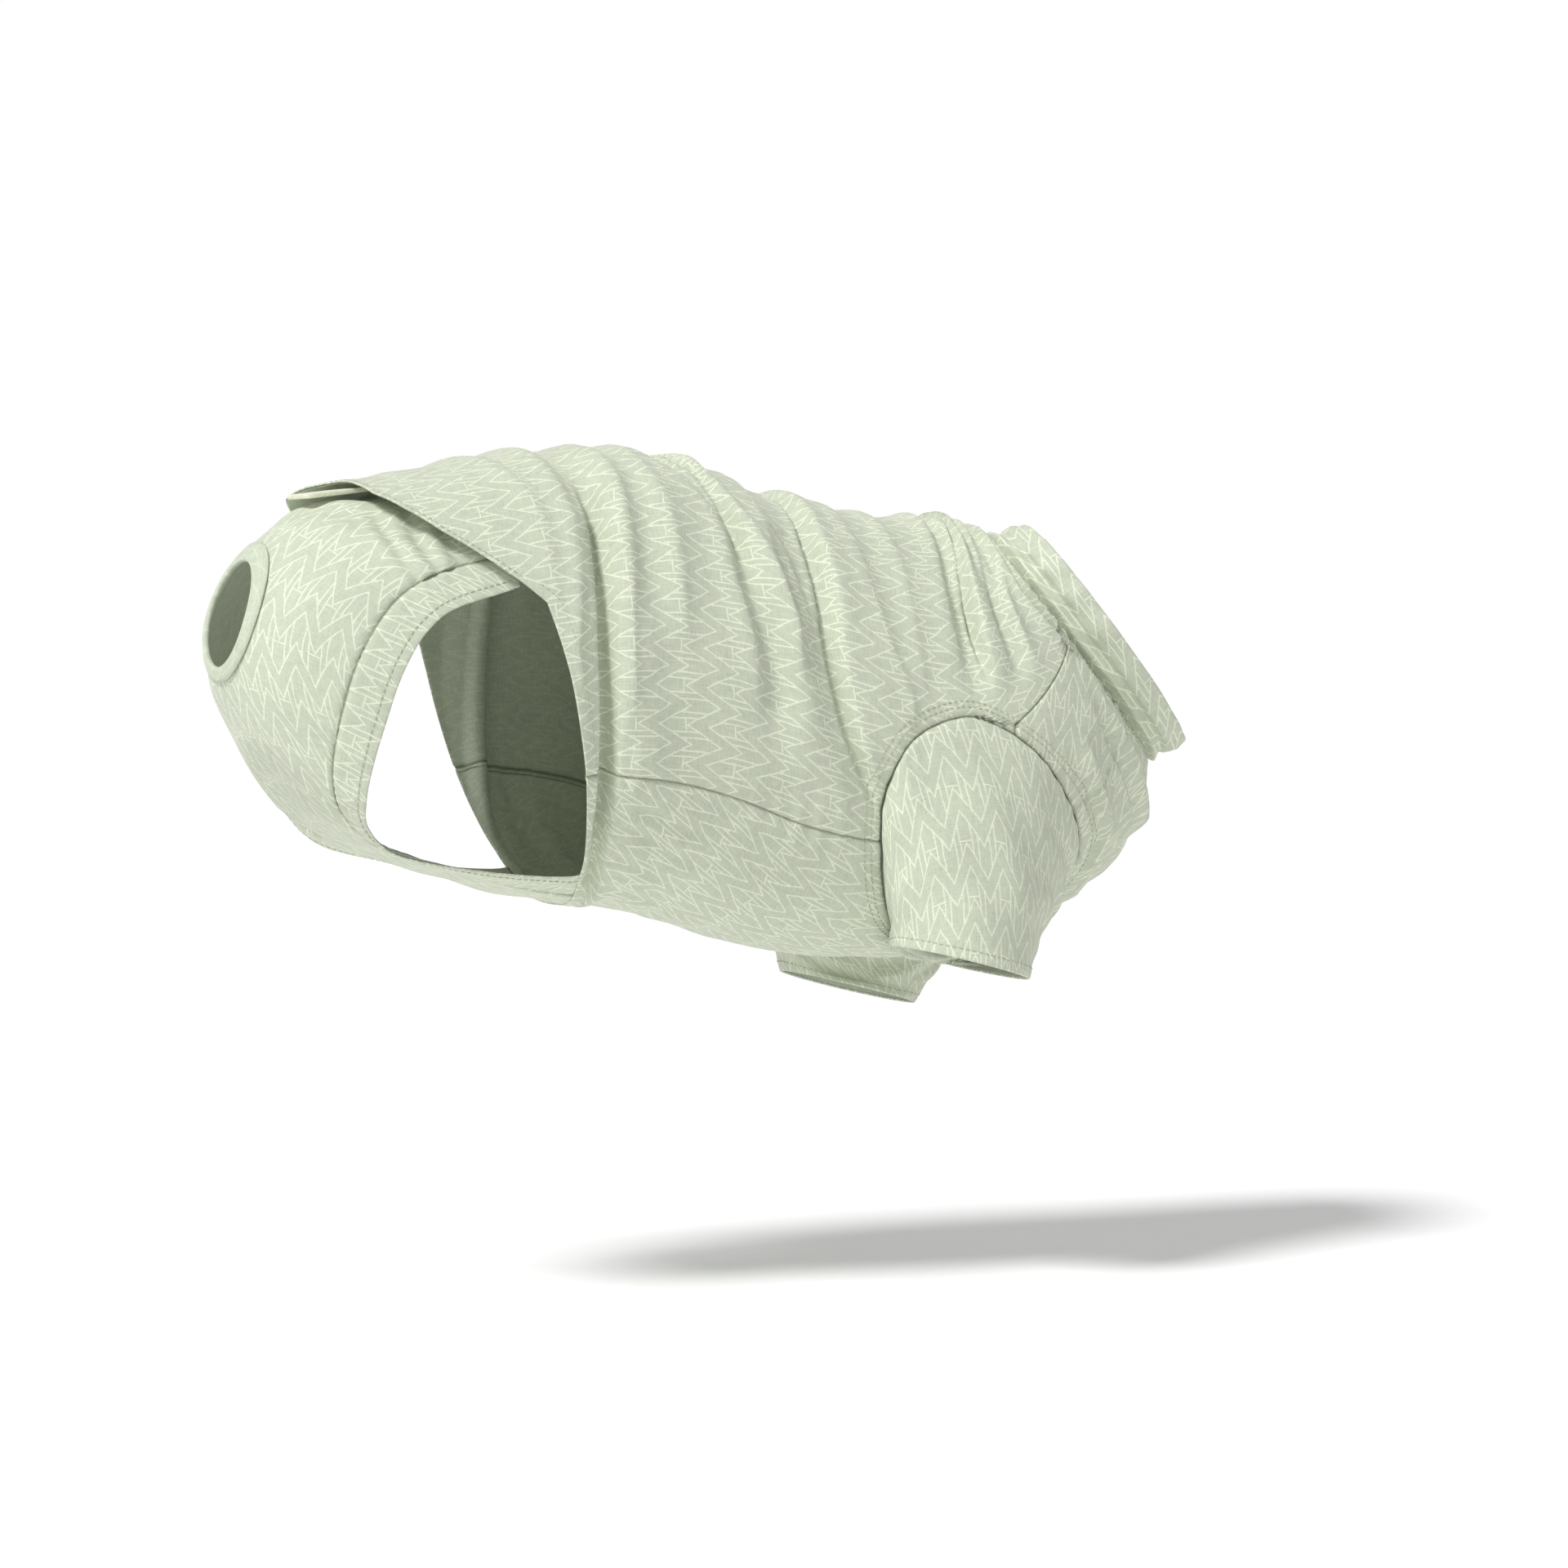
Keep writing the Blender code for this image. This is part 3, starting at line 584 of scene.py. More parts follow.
# Fine pale lines: zigzag bands with short ladder bars between them, in metres of cloth.
def makePrintGroup():
    sizes = {"Place": None, "Across": 0.0170, "Along": 0.0250, "Height": 0.0165, "Band": 0.0105,
             "Line": 0.00060}
    ladder = {"halfWidth": 0.0013, "rung": 0.0030, "tie": 0.0135}
    group, (place, across, along, height, band, line), end = newGroup("zigzagLines", sizes, ["Mask"])
    split = addNode(group, "ShaderNodeSeparateXYZ", {0: place})
    wander = addNode(group, "ShaderNodeTexNoise", {"Scale": 90.0, "Detail": 1.0, "Vector": place})
    shift = (wander - 0.5) * 0.0012
    x, y = split[1] + shift, split[0] - shift

    def wrap(value, size):  # how far into a repeat, in metres
        return mathNode("FRACT", value / size) * size

    def lineAt(distance):  # soft-edged line
        return mathNode("DIVIDE", line * 0.62 - abs(distance) + 0.00008, 0.00022, clamp=True)

    half = across * 0.5
    triangle = abs(wrap(x, across) - half) / half
    level = wrap(y - triangle * height, along)
    slope = height / half
    lean = mathNode("SQRT", slope * slope + 1.0)
    first = lineAt(mathNode("MINIMUM", level, along - level) / lean)
    second = lineAt((level - band) / lean)
    between = mathNode("GREATER_THAN", level, band)
    # ladder: two uprights about each quarter of the row, and rungs between and beside them
    quarter = wrap(x, half) - half * 0.5
    upright = lineAt(abs(quarter) - ladder["halfWidth"]) * between
    inside = mathNode("LESS_THAN", abs(quarter), ladder["halfWidth"])
    rung = lineAt(wrap(y + ladder["rung"], along) - along * 0.5) * between * inside
    tie = lineAt(wrap(y + ladder["tie"], along) - along * 0.5) * between * (1.0 - inside)
    mask = mathNode("MAXIMUM", first, second)
    for part in (upright, rung, tie):
        mask = mathNode("MAXIMUM", mask, part)
    setInputs(group, end, {"Mask": mask})
    return group


# A light plain weave with slubs: height for the bump and a shade for the colour.
def makeWeaveGroup():
    group, (place, pitch), end = newGroup("slubWeave", {"Place": None, "Pitch": 0.00080}, ["Height", "Shade"])
    split = addNode(group, "ShaderNodeSeparateXYZ", {0: place})
    turns = mathNode("DIVIDE", 2 * pi, pitch)
    weave = mathNode("SINE", split[0] * turns) * mathNode("SINE", split[1] * turns)
    slubs = []
    for size in ((170.0, 1500.0, 1.0), (1400.0, 200.0, 1.0)):  # along the weft, along the warp
        drawn = addNode(group, "ShaderNodeMapping", {"Scale": size, "Vector": place})
        noise = addNode(group, "ShaderNodeTexNoise", {"Scale": 1.0, "Detail": 2.0, "Vector": drawn})
        slubs.append(noise - 0.5)
    threads = slubs[0] + slubs[1]
    setInputs(group, end, {"Height": weave * 0.35 + threads * 1.2, "Shade": weave * 0.03 + threads * 0.36})
    return group


printGroup = makePrintGroup()
weaveGroup = makeWeaveGroup()


def newLook(name):
    look = bpy.data.materials.new(name)
    look.use_nodes = True
    return look, look.node_tree, look.node_tree.nodes["Principled BSDF"]


def clothMaterial(name, ground, lines, printed=1.0, bump=0.00005):
    look, tree, shader = newLook(name)
    place = addNode(tree, "ShaderNodeUVMap", uv_map="cloth")
    weave = addNode(tree, "ShaderNodeGroup", {"Place": place}, node_tree=weaveGroup)
    cloudy = addNode(tree, "ShaderNodeTexNoise", {"Scale": 28.0, "Detail": 3.0, "Vector": place})
    tone = weave["Shade"] + (cloudy - 0.5) * 0.10 + 1.0
    mask = addNode(tree, "ShaderNodeGroup", {"Place": place}, node_tree=printGroup) * printed
    # Painted shade: along every seam the colour darkens towards a near-black olive, in place of the shade in
    # the seam's groove.
    seam = addNode(tree, "ShaderNodeAttribute", output="Fac", attribute_name="seam")
    colour = mixColour(tree, seam * 0.6, mixColour(tree, mask, ground, lines), palette["thread"])
    shaded = addNode(tree, "ShaderNodeVectorMath", {0: colour, "Scale": tone}, operation="SCALE")
    raised = addNode(tree, "ShaderNodeBump", {"Distance": bump, "Strength": 1.0,
                                              "Height": weave["Height"] + mask * 0.5})
    rough = mathNode("ADD", 0.86, weave["Shade"] * 0.5, clamp=True)
    setInputs(tree, shader, {"Base Color": shaded, "Roughness": rough, "Normal": raised, "Sheen Weight": 0.15,
                             "Sheen Roughness": 0.5, "Specular IOR Level": 0.25})
    return look


# Thread or tape, uneven in colour and roughness, with small hooks where their scale is given.
def fibreMaterial(name, colour, scale, detail, darkest, rough, hooks=None):
    look, tree, shader = newLook(name)
    place = addNode(tree, "ShaderNodeTexCoord", output="Object")
    fibres = addNode(tree, "ShaderNodeTexNoise", {"Scale": scale, "Detail": detail, "Vector": place})
    darker = tuple(c * darkest for c in colour)
    setInputs(tree, shader, {"Base Color": mixColour(tree, fibres, darker, colour),
                             "Roughness": fibres * 0.3 + rough})
    if hooks:
        bumps = addNode(tree, "ShaderNodeTexVoronoi", {"Scale": hooks, "Vector": place})
        raised = addNode(tree, "ShaderNodeBump", {"Distance": 0.0002, "Height": bumps})
        setInputs(tree, shader, {"Normal": raised})
    return look


# The darkest colour here is painted shade for the seams' grooves, not a colour of the cloth or its thread.
palette = {"ground": (0.550, 0.592, 0.470), "lines": (0.730, 0.775, 0.610), "thread": (0.120, 0.135, 0.070),
           "inside": (0.540, 0.590, 0.465), "hemThread": (0.50, 0.54, 0.40), "tape": (0.80, 0.82, 0.64)}
printCloth = clothMaterial("printedCotton", palette["ground"], palette["lines"])
innerCloth = clothMaterial("printedCottonInside", palette["inside"], palette["lines"], printed=0.3)
hemThread = fibreMaterial("hemThread", palette["hemThread"], 2600.0, 2.0, darkest=0.72, rough=0.55)
tapeLook = fibreMaterial("closureTape", palette["tape"], 420.0, 4.0, darkest=0.8, rough=0.6, hooks=900.0)
print("materials made")


# stitches

# A row of thread stitches on a line of points.
def makeStitches(name, points, normals, pitch=0.0030, length=0.0021, width=0.00050, sink=0.00012):
    points, normals = np.asarray(points), np.asarray(normals)
    place = runs(points, 0)
    count = max(int(place[-1] / pitch), 1)
    mesh = bmesh.new()

    def read(values, at):
        return Vector([np.interp(at, place, values[:, c]) for c in range(3)])

    for k in range(count):
        middle = (k + 0.5) * place[-1] / count
        p, q = read(points, middle - length / 2), read(points, middle + length / 2)
        n = read(normals, middle).normalized()
        run = (q - p).normalized()
        side = n.cross(run).normalized()
        n = run.cross(side)
        turn = Matrix((run, side, n)).transposed().to_4x4()
        size = Matrix.Diagonal((length / 2, width / 2, width / 2, 1))
        shift = Matrix.Translation((p + q) / 2 + n * (width / 2 - sink))
        bmesh.ops.create_uvsphere(mesh, u_segments=6, v_segments=5, radius=1,
                                  matrix=shift @ turn @ size @ Matrix.Rotation(pi / 2, 4, "Y"))
    bmesh.ops.recalc_face_normals(mesh, faces=mesh.faces)
    return finishPiece(name, mesh, [hemThread])


# Stitches on the trunk's cloth along a line of places.
def stitchLine(name, along, around):
    along, around = np.asarray(along, float), np.asarray(around, float)
    normals = trunkNormal(along, around)
    points = smoothTrunk(along, around) + normals * trunkLift(along, around)[..., None]
    return makeStitches(name, points, normals)


# the trunk's panels

# metres from an edge where folds and slack are whole again, and the hems' widths
calm = {"seam": 0.011, "hem": 0.009, "slack": 0.02}
hems = {"flap": 0.0030, "leg": 0.0068, "cuff": 0.0062, "band": 0.0058}


# How far the cloth stands off the smooth trunk, with folds, slack, seams and the leg hem.
def trunkLift(along, around):
    fromRear = (np.asarray(along) - rearPlace(around)) * trunkRun
    near, turn = fromArmhole(along, around)
    neck = (1 - along) * trunkRun
    folds = creaseHeight(along, around) * ease(fromRear / calm["hem"]) * ease(neck / calm["seam"])
    loose = slack(along, around) * (0.35 + 0.65 * ease(fromRear / calm["slack"]))
    held = ease(near / calm["seam"])  # no fold crosses the armhole's seam
    lift = held * (folds + loose) - mainFoldDepth(along, around)
    lift = lift + groove(near) + pucker(turn * armRun, near, seed=2)
    front = fromFrontSeam(along, around, 0.39)
    lift = lift + groove(front) + pucker(around * girthRun, front, seed=4)
    side = np.abs(np.abs(around) - seams["side"]) * girthRun
    lift = lift + groove(side) + pucker(along * trunkRun, side, seed=5, depth=0.0004, reach=0.010)
    lift = lift + groove(neck, width=0.0018, depth=0.0009)
    lift = lift + pucker(around * girthRun, neck, seed=6, length=0.011, depth=0.0006, reach=0.014)
    flapHem, legHem = hem(fromRear, hems["flap"], rise=0.0004), hem(fromRear, hems["leg"], rise=0.0007)
    return lift + np.where(np.abs(around) < seams["flapCorner"], flapHem, legHem)


# How close the trunk's cloth is to a seam, from 0 to 1: the mask of the painted seam shade.
def trunkSeams(along, around):
    near, front = fromArmhole(along, around)[0], fromFrontSeam(along, around, 0.398)
    side = np.where(along < frontPlace(around) + 0.01, np.abs(np.abs(around) - seams["side"]) * girthRun, 1.0)
    return seamLine(np.minimum(np.minimum(near, front), np.minimum(side, (1 - along) * trunkRun)))


def trunkPanel(along, around):
    ratio, turn = armholeRatio(along, around)
    inside = ratio < 1
    snap = besideEdge(inside)
    loop = loopAt(turn)
    along = np.where(snap, loop[..., 0], along)
    around = np.where(snap, loop[..., 1] * np.where(around < 0, -1, 1), around)
    base = smoothTrunk(along, around)
    points = base + trunkNormal(along, around) * trunkLift(along, around)[..., None]
    # the print follows the cloth into its folds
    extra = np.linalg.norm(np.diff(points, axis=1), axis=2) - np.linalg.norm(np.diff(base, axis=1), axis=2)
    uv = (readTable(runTable, along, around) + summed(np.clip(extra, 0, 0.004), 1),
          readTable(turnTable, along, around) * np.where(around < 0, -1, 1))
    return points, uv, inside, trunkSeams(along, around)


# back panel: its rows run straight as far as the armhole, and only past it follow the slant of the front seam
back = {"rows": 252, "straight": 0.64, "tight": 0.0025}
backEdge = spread(0.37, seams["side"], 56, back["tight"], fineStart=False)
backT = np.concatenate([-backEdge[:0:-1], np.linspace(-0.37, 0.33, 76), np.linspace(0.33, 0.55, 42)[1:],
                        spread(0.55, seams["side"], 14, back["tight"], fineStart=False)[1:]])
tGrid, sGrid = grid(backT, spread(0, 1, back["rows"], 0.0022))
startPlace, endPlace = rearPlace(tGrid), frontPlace(tGrid)
straight = startPlace + (1 - startPlace) * sGrid
past = np.clip((straight - back["straight"]) / (1 - back["straight"]), 0, 1)
straight = np.where(straight < back["straight"], straight,
                    back["straight"] + past * (endPlace - back["straight"]))
backPoints, backUv, backHole, backSeams = trunkPanel(straight, tGrid)
backPanel = makeCloth("backPanel", backPoints, backUv, backSeams, backHole)
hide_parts("back_panel")
print("back panel made", len(backPanel.data.polygons))

# belly panel: around goes on past 1, and comes back as a place on the right
belly = {"columns": 150, "rows": 150, "printTurn": 24}
bellyT = seams["side"] + spread(0, 2 - 2 * seams["side"], belly["columns"], 0.0025)
tGrid, sGrid = grid(bellyT, spread(0, 1, belly["rows"], 0.0045))
signed = np.where(tGrid > 1, tGrid - 2, tGrid)
startPlace, endPlace = rearPlace(signed), frontPlace(signed)
bellyAlong = startPlace + (endPlace - startPlace) * sGrid
bellyPoints, bellyUv, bellyHole, bellySeams = trunkPanel(bellyAlong, signed)
# the print runs on across the underside's middle line
bellyAcross = bellyUv[1] + np.where(signed < 0, 2 * readTable(turnTable, bellyAlong, np.ones_like(signed)), 0)
bellyUv = (bellyUv[0], bellyAcross)
bellyPanel = makeCloth("bellyPanel", bellyPoints, turned(bellyUv, belly["printTurn"]), bellySeams, bellyHole)
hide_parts("belly_panel")
print("belly panel made", len(bellyPanel.data.polygons))

# chest panel: its print lies on an upright cylinder
chest = {"columns": 230, "rows": 96, "from": 0.400, "last": 0.9985, "low": 0.755, "radius": 0.078,
         "centre": 0.155, "printTurn": -14}
tGrid, sGrid = grid(spread(chest["from"], 2 - chest["from"], chest["columns"]),
                    spread(0, 1, chest["rows"], 0.006))
signed = np.where(tGrid > 1, tGrid - 2, tGrid)
startPlace = np.minimum(frontPlace(signed), chest["last"])
chestPoints, chestUv, chestHole, chestSeams = trunkPanel(startPlace + (1 - startPlace) * sGrid, signed)
frontLine = smoothTrunk(np.linspace(1.0, chest["low"], 60), 1.0)
highest = chestPoints[..., 2] > frontLine[0, 2]
chestDown = np.where(highest, frontLine[0, 2] - chestPoints[..., 2],
                     np.interp(-chestPoints[..., 2], -frontLine[:, 2], runs(frontLine, 0)))
chestRound = chest["radius"] * np.arctan2(chestPoints[..., 1], chestPoints[..., 0] - chest["centre"])
chestUv = turned((-chestDown, chestRound), chest["printTurn"])
chestPanel = makeCloth("chestPanel", chestPoints, chestUv, chestSeams, chestHole)
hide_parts("chest_panel")
print("chest panel made", len(chestPanel.data.polygons))

# collar: a double band that stands out from the neck seam, gathered a little
collar = {"width": 0.019, "flare": 0.004, "tuck": 0.0012, "wall": 0.0019}
tGrid, sGrid = grid(np.linspace(0, 1, 321), spread(0, 1, 34, 0.03))
ring = smoothTrunk(1.0, 2 * tGrid - 1)
downward = smoothTrunk(1.0, 1.0) - smoothTrunk(1.0, 0.0)
sideways = smoothTrunk(1.0, 0.5) - smoothTrunk(1.0, -0.5)
axis = unit(np.cross(downward, sideways))
middle = (smoothTrunk(1.0, 0.0) + smoothTrunk(1.0, 1.0)) / 2
out = ring - middle
out = unit(out - (out @ axis)[..., None] * axis)
lean = collar["flare"] - 0.010 * bell((tGrid - 0.5) / 0.13)  # the top lies lower
rise = collar["width"] * sGrid - collar["tuck"] * (1 - sGrid)
collarBase = ring + axis * rise[..., None] + out * (lean * ease(sGrid))[..., None]
collarUv = arcPlaces(collarBase)
angle = 2 * pi * tGrid
gather = (0.0008 * np.sin(17 * angle + 2.2 * np.sin(3 * angle) + 2.5 * sGrid)
          + 0.0010 * np.sin(7 * angle + 1 + 1.5 * np.sin(2 * angle) - 2 * sGrid))
gather = 0.7 * gather * (0.25 + 0.75 * ease(sGrid * 1.3))
wander = 0.0007 * np.sin(4 * angle + 1) + 0.0004 * np.sin(9 * angle)
fromSeam, fromEdge = sGrid * collar["width"], (1 - sGrid) * collar["width"]
roll = (0.0020 * bell((fromSeam - 0.0040 + wander) / 0.0018)
        - 0.0013 * bell((fromSeam - 0.0078 + wander) / 0.0013)
        + 0.0010 * bell((fromSeam - 0.0112 - wander * 2) / 0.0020))
crown = 0.0011 * np.sin(pi * np.clip(sGrid, 0, 1)) ** 0.7
collarLift = gather + roll + groove(fromSeam, 0.0018, 0.0009) + crown + roundedEdge(fromEdge, 0.0010)
collarPoints = collarBase + gridNormals(collarBase) * collarLift[..., None]
collarPoints[-1] = collarPoints[0]
collarBand = makeCloth("collarBand", collarPoints, turned(collarUv, 90), seamLine(fromSeam),
                       wall=collar["wall"])
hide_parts("collar")
print("collar made")


# sleeves, with drawn folds at the front, towards the chest panel
sleeve = {"columns": 181, "rows": 52, "folds": ((0.24, 0.0015), (0.50, 0.0014), (0.74, 0.0008))}


def makeSleeve(name, side, forward, lower, node):
    t, s = grid(np.linspace(0, 1, sleeve["columns"]), spread(0, 1, sleeve["rows"], 0.012))
    turn = 2 * pi * t * side
    loop = loopAt(turn)
    along, around = loop[..., 0], loop[..., 1] * side
    top, normal = trunkPoint(along, around), trunkNormal(along, around)
    radius = cuff["diameter"] / 2
    centre = np.array([cuff["x"] * suit["length"] + forward, cuff["y"] * suit["width"] * side,
                       cuff["z"] * suit["depth"] - lower])
    x, y = radius * np.cos(turn), radius * np.sin(turn)
    rim = centre + np.stack([x * cos(cuff["tilt"]), y * side, x * sin(cuff["tilt"])], axis=-1)
    bulge = cuff["bulge"] * np.sin(pi * s) * np.maximum(np.sin(turn), cuff["underside"])
    base = top * (1 - s)[..., None] + rim * s[..., None] + normal * bulge[..., None]
    length = np.linalg.norm(rim - top, axis=-1)
    fromTop, fromCuff = s * length, (1 - s) * length
    front = np.cos(turn)
    drawn = np.zeros_like(s)
    for place, depth in sleeve["folds"]:
        bend = place + 0.16 * (1 - front) - 0.05 * np.sin(turn)
        drawn -= depth * bell((s - bend) / 0.055) * np.clip(front, 0, 1) ** 1.5
        drawn += depth * 0.6 * bell((s - bend - 0.10) / 0.06) * np.clip(front, 0, 1) ** 1.5
    loose = (0.0007 * np.sin(7 * turn + 9 * s) * np.sin(pi * s)
             + 0.0005 * np.sin(3 * turn - 14 * s + 2) * np.sin(pi * s))
    lift = drawn + loose + groove(fromTop) + pucker(turn * armRun, fromTop, depth=0.0004, seed=8)
    lift = lift + hem(fromCuff, hems["cuff"], rise=0.0005)
    normals = gridNormals(base)
    points = base + normals * lift[..., None]
    points[0] = points[-1] = (points[0] + points[-1]) / 2
    piece = makeCloth(name, points, evened(arcPlaces(base), acrossShare=0.6), seamLine(fromTop))
    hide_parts(node)
    return piece, points, normals, fromCuff


rightSleeve, *rightSleeveRows = makeSleeve("rightSleeve", -1, 0, 0, "sleeve_right")
leftSleeve, *leftSleeveRows = makeSleeve("leftSleeve", 1, cuff["leftForward"], cuff["leftDrop"], "sleeve_left")
print("sleeves made")

# rump panel with its tail hole, and the two leg bands
rumpFolds = {"paths": ((0.915, 0.0016), (0.875, 0.0013), (0.835, 0.0010)), "half": 0.0030, "ridge": 0.0036}
rumpS = spread(0, 1, 200)
tGrid, sGrid = grid(spread(-1, 1, 110, 0.008), rumpS)
rumpBase = rumpPoint(1 - sGrid, tGrid * bandSeam(1 - rumpS)[None, :])
rumpUv = arcPlaces(rumpBase)
rumpNormals = gridNormals(rumpBase)
holeCentre = rumpPoint(tail["place"], 0.0)
holeAxis = np.array([sin(tail["tilt"]), 0, cos(tail["tilt"])])
off = rumpBase - holeCentre
offFlat = off - (off @ holeAxis)[..., None] * holeAxis
holeDistance = np.where(rumpBase[..., 0] < -0.12, np.linalg.norm(offFlat, axis=-1), 1.0)
holeRadius = tail["diameter"] / 2
cutRadius = holeRadius + 0.0012  # the hem covers the panel's own edge
inside = holeDistance < cutRadius
moved = rumpBase + offFlat * (cutRadius / np.maximum(holeDistance, 1e-6) - 1)[..., None]
rumpBase = np.where(besideEdge(inside)[..., None], moved, rumpBase)
edgeRun = np.abs(np.abs(tGrid) - 1) * rump["halfWidth"]
rumpLift = groove(edgeRun) + pucker(sGrid * rump["run"], edgeRun, seed=9)
u, v = rumpUv
rumpLift = rumpLift + 0.0006 * np.sin(u * 150 + 2 * np.sin(v * 40)) * np.sin(v * 36 + 1)
rumpLift = rumpLift + 0.0005 * np.sin(v * 120 + u * 40)
fade = ease((np.abs(tGrid) - 0.25) / 0.3)
for place, depth in rumpFolds["paths"]:
    beyond = (sGrid - (place + 0.05 * np.abs(tGrid) - 0.02 * np.sin(5 * tGrid))) * rump["run"]
    rumpLift = rumpLift - depth * fade * bell(beyond / rumpFolds["half"])
    rumpLift = rumpLift + 0.6 * depth * fade * bell(beyond / rumpFolds["ridge"] + 1.8)
rumpLift = rumpLift + 0.0007 * bell((sGrid - 0.86) / 0.10) * np.sin(u * 210 + 3 * np.sin(v * 30))
rumpLift = rumpLift * ease((holeDistance - holeRadius) / 0.02)  # flat beside the tail hole
rumpPoints = rumpBase + rumpNormals * rumpLift[..., None]
rumpPanel = makeCloth("rumpPanel", rumpPoints, evened(rumpUv, alongShare=0.6), seamLine(edgeRun), inside)
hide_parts("rump_panel")

# the tail hole's hem, a strip of cloth folded over its edge: shares of its width, and millimetres up
tailHem = {"width": 0.0055, "turns": 120, "wall": 0.0003, "lift": 0.0003}
profile = np.array([(1.00, 0.10), (0.96, 0.55), (0.75, 0.70), (0.45, 0.62), (0.20, 0.75), (0.03, 0.60),
                    (-0.06, 0.10), (-0.09, -0.50), (-0.06, -1.20), (0.05, -1.60), (0.40, -1.70), (0.97, -1.62),
                    (1.00, -1.25)])
alongHole = np.array([-holeAxis[2], 0, holeAxis[0]])
hemTurn = np.linspace(0, 2 * pi, tailHem["turns"] + 1)[:, None]
hemIn = profile[None, :, 0] * tailHem["width"] + 0 * hemTurn
hemRadius = holeRadius + hemIn
wantedUp, wantedSide = hemRadius * np.cos(hemTurn), hemRadius * np.sin(hemTurn)


# How far a point of the rump is from where the hem's point belongs.
def hemMiss(place, across):
    away = rumpPoint(place, across) - holeCentre
    return away @ alongHole - wantedUp, away[..., 1] - wantedSide


nudge = 1e-4
place, across = np.full_like(hemRadius, tail["place"]), np.zeros_like(hemRadius)
for attempt in range(8):
    up, aside = hemMiss(place, across)
    nudged = (*hemMiss(place + nudge, across), *hemMiss(place, across + nudge))
    upByPlace, asideByPlace, upByAcross, asideByAcross = (
        (new - old) / nudge for new, old in zip(nudged, (up, aside, up, aside)))
    area = upByPlace * asideByAcross - upByAcross * asideByPlace
    place = place - (up * asideByAcross - aside * upByAcross) / area
    across = across - (aside * upByPlace - up * asideByPlace) / area
hemBase = rumpPoint(place, across)
outwards = unit(np.cross(rumpPoint(place - step, across) - hemBase, rumpPoint(place, across + step) - hemBase))
hemPoints = hemBase + outwards * (profile[None, :, 1] * 0.001 + tailHem["lift"])[..., None]
hemPoints[-1] = hemPoints[0]
hemUv = (hemTurn * holeRadius + 0 * hemRadius, hemIn)
hemSeams = seamLine(np.ones_like(hemRadius))
tailBinding = makeCloth("tailHoleHem", hemPoints, hemUv, hemSeams, wall=tailHem["wall"])


def makeBand(name, side, node):
    t, s = grid(spread(0, 1, 14, 0.04), spread(0, 1.022, 184))
    start = bandSeam(1 - s[0])[None, :]
    outward = t if side > 0 else 1 - t
    base = rumpPoint(1 - s, (start + (1 - start) * outward) * side)
    fromSeam, fromEdge = outward * rump["bandWidth"], (1 - outward) * rump["bandWidth"]
    lift = groove(fromSeam) + pucker(s * rump["run"], fromSeam, seed=11)
    lift = lift + hem(fromEdge, hems["band"], rise=0.0005) + 0.0004 * np.sin(s * 60) * np.sin(pi * outward)
    normals = gridNormals(base)
    points = base + normals * lift[..., None]
    piece = makeCloth(name, points, turned(arcPlaces(base), 90), seamLine(fromSeam))
    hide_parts(node)
    return piece, points, normals, fromEdge


rightBand, *rightBandRows = makeBand("rightLegBand", -1, "leg_band_right")
leftBand, *leftBandRows = makeBand("leftLegBand", 1, "leg_band_left")
print("rump and bands made")

# closure tab: a flat strip of tape with rounded corners and a rolled edge
tab = {"length": 0.038, "width": 0.024, "thick": 0.0022, "overlap": 0.018, "clearance": 0.0017,
       "cloth": 0.0018, "tilt": radians(-7), "corner": 0.004, "roll": 0.0006}
mesh = bmesh.new()
bmesh.ops.create_cube(mesh, size=1)
bmesh.ops.scale(mesh, verts=mesh.verts, vec=(tab["length"], tab["width"], tab["thick"]))
rounding = {"profile": 0.5, "affect": "EDGES", "material": -1, "clamp_overlap": True}
uprights = [e for e in mesh.edges if abs(e.verts[0].co.z - e.verts[1].co.z) > tab["thick"] / 2]
bmesh.ops.bevel(mesh, geom=uprights, offset=tab["corner"], segments=6, **rounding)
rims = [e for e in mesh.edges if abs(e.verts[0].co.z - e.verts[1].co.z) < 1e-6]
bmesh.ops.bevel(mesh, geom=rims, offset=tab["roll"], segments=3, **rounding)
hemPoint = trunkPoint(rearEdge[0][1], 0.0)
drop = tab["cloth"] + tab["clearance"] + tab["thick"] / 2
shift = Matrix.Translation((hemPoint[0] + tab["overlap"] - tab["length"] / 2, 0, hemPoint[2] - drop))
bmesh.ops.transform(mesh, matrix=shift @ Matrix.Rotation(tab["tilt"], 4, "Y"), verts=mesh.verts)
closureTab = finishPiece("closureTape", mesh, [tapeLook])
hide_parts("closure_tab")

# stitching: metres from the edge or seam that each line follows
stitchedIn = {"armhole": {"Inner": 0.0042, "Outer": 0.0066}, "legHem": 0.0056, "flapHem": 0.0024,
              "neck": 0.0030, "cuff": 0.0050, "band": 0.0046}


# Places a distance outside the armhole's loop.
def besideArmhole(offset, side):
    away = (loopAt(np.linspace(0, 2 * pi, 361)) - armCentre) * [trunkRun, girthRun]
    away = away * (1 + offset / np.linalg.norm(away, axis=1))[:, None]
    place = armCentre + away / [trunkRun, girthRun]
    return place[:, 0], place[:, 1] * side


for side, word in ((-1, "right"), (1, "left")):
    for number, offset in stitchedIn["armhole"].items():
        stitchLine(word + "ArmholeStitches" + number, *besideArmhole(offset, side))
    around = side * np.linspace(0.37, 0.985, 90)
    along = rearPlace(around) + stitchedIn["legHem"] / trunkRun
    stitchLine(word + "LegHemStitches", along, around)
around = np.linspace(-seams["flapCorner"], seams["flapCorner"], 120)
along = rearPlace(around) + stitchedIn["flapHem"] / trunkRun
stitchLine("flapHemStitches", along, around)
around = np.linspace(-0.999, 0.999, 240)
along = np.full_like(around, 1 - stitchedIn["neck"] / trunkRun)
stitchLine("neckStitches", along, around)


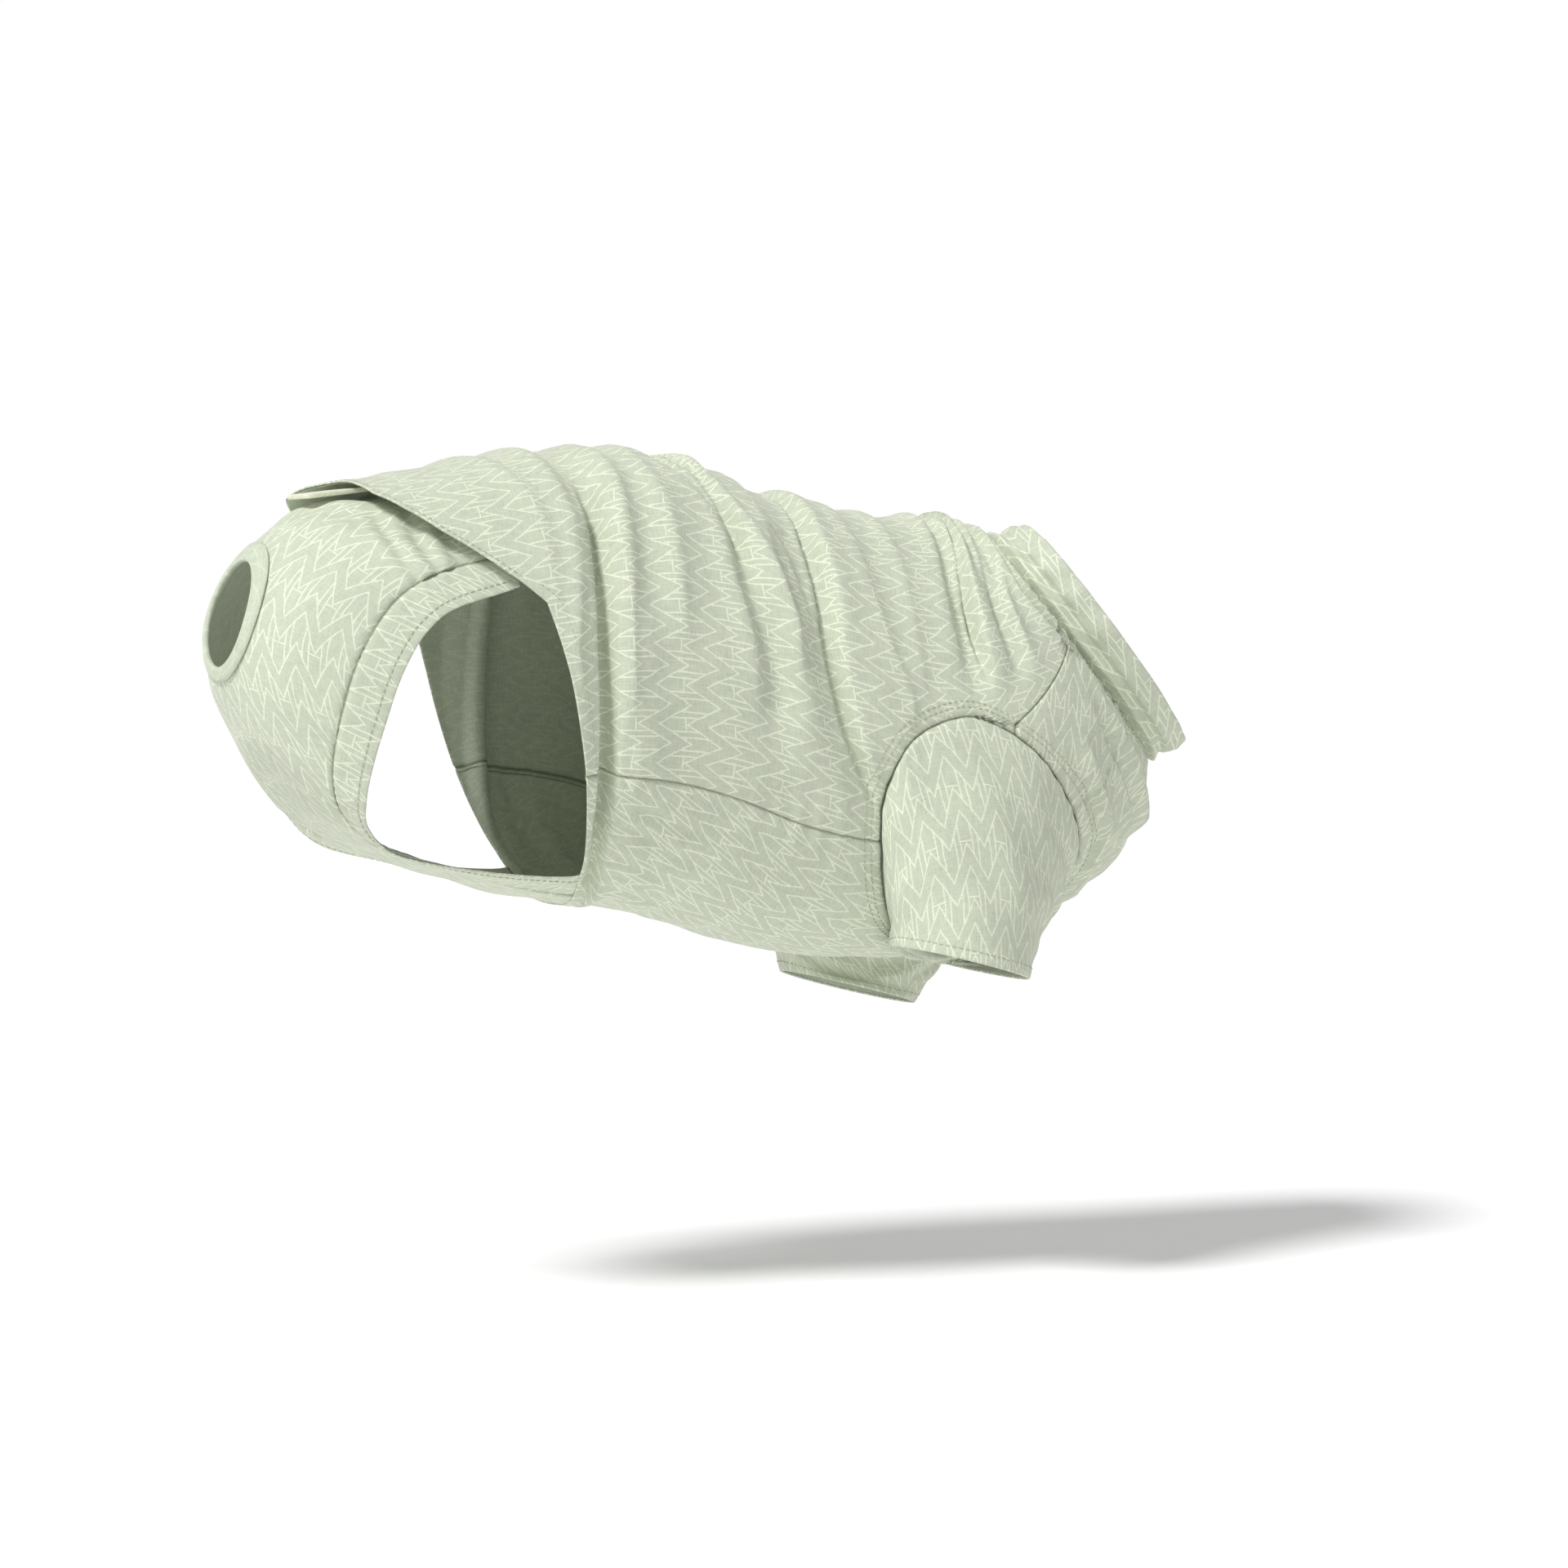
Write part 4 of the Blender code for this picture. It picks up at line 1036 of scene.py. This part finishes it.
# The line on a grid of points at a wanted distance, by interpolation across each of its rows.
def hemStitches(name, points, normals, distance, wanted):
    line, lineNormals = [], []
    for row, rowNormals, far in zip(points, normals, distance):
        order = np.argsort(far)
        for found, values in ((line, row), (lineNormals, rowNormals)):
            found.append([np.interp(wanted, far[order], values[order, c]) for c in range(3)])
    return makeStitches(name, line, lineNormals)


rightSleeveStitches = hemStitches("rightSleeveHemStitches", *rightSleeveRows, stitchedIn["cuff"])
leftSleeveStitches = hemStitches("leftSleeveHemStitches", *leftSleeveRows, stitchedIn["cuff"])
rightBandStitches, leftBandStitches = (
    hemStitches(word + "BandHemStitches", *(values.swapaxes(0, 1) for values in rows), stitchedIn["band"])
    for word, rows in (("right", rightBandRows), ("left", leftBandRows)))
print("stitches made")

# what each piece of cloth was cut to
prints = {"back": backUv, "belly": bellyUv, "chest": chestUv, "collar": collarUv, "rump": rumpUv}
for label, uv in prints.items():
    print("flat", label, [round(float(np.ptp(extent)), 4) for extent in uv])

# floor, light and camera; azimuth and elevation in degrees
studio = {"background": 1.0, "ambient": 0.44, "key": 2.6, "keyAngle": 14, "side": 0.35, "floor": 0.97,
          "floorLevel": -0.375}
view = {"azimuth": -28, "elevation": 2, "lens": 110.0, "sensor": 36, "target": Vector((0.067, 0, -0.148)),
        "distance": 0.71 * 110 / 36}

mesh = bmesh.new()
bmesh.ops.create_circle(mesh, cap_ends=True, segments=96, radius=60)
bmesh.ops.translate(mesh, verts=mesh.verts, vec=(0, 0, studio["floorLevel"]))
floorLook, tree, shader = newLook("paleFloor")
setInputs(tree, shader, {"Base Color": (studio["floor"],) * 3, "Roughness": 0.9})
toObject("floor", mesh, [floorLook])

world = bpy.data.worlds.new("studio")
world.use_nodes = True
tree = world.node_tree
seen = addNode(tree, "ShaderNodeLightPath", output="Is Camera Ray")
level = addNode(tree, "ShaderNodeMapRange", {"To Min": studio["ambient"], "To Max": studio["background"],
                                             "Value": seen})
setInputs(tree, tree.nodes["Background"], {"Strength": level, "Color": (1, 1, 1)})
bpy.context.scene.world = world
bpy.context.scene.view_settings.view_transform = "Standard"


def towards(azimuth, elevation):
    azimuth, elevation = radians(azimuth), radians(elevation)
    return Vector((sin(azimuth) * cos(elevation), -cos(azimuth) * cos(elevation), sin(elevation)))


def aim(thing, direction):
    thing.rotation_euler = (-direction).to_track_quat("-Z", "Y").to_euler()


def addSun(name, azimuth, elevation, power, angle):
    light = bpy.data.lights.new(name, "SUN")
    light.energy = power
    light.angle = radians(angle)
    lamp = addObject(name, light)
    lamp.location = towards(azimuth, elevation) * 3
    aim(lamp, towards(azimuth, elevation))


addSun("keyLight", -68, 48, studio["key"], studio["keyAngle"])
addSun("sideLight", 140, 30, studio["side"], 40)

cameraData = bpy.data.cameras.new("camera")
cameraData.lens = view["lens"]
cameraData.sensor_width = view["sensor"]
camera = addObject("camera", cameraData)
camera.location = view["target"] + towards(view["azimuth"], view["elevation"]) * view["distance"]
aim(camera, towards(view["azimuth"], view["elevation"]))
bpy.context.scene.camera = camera
print("scene set")
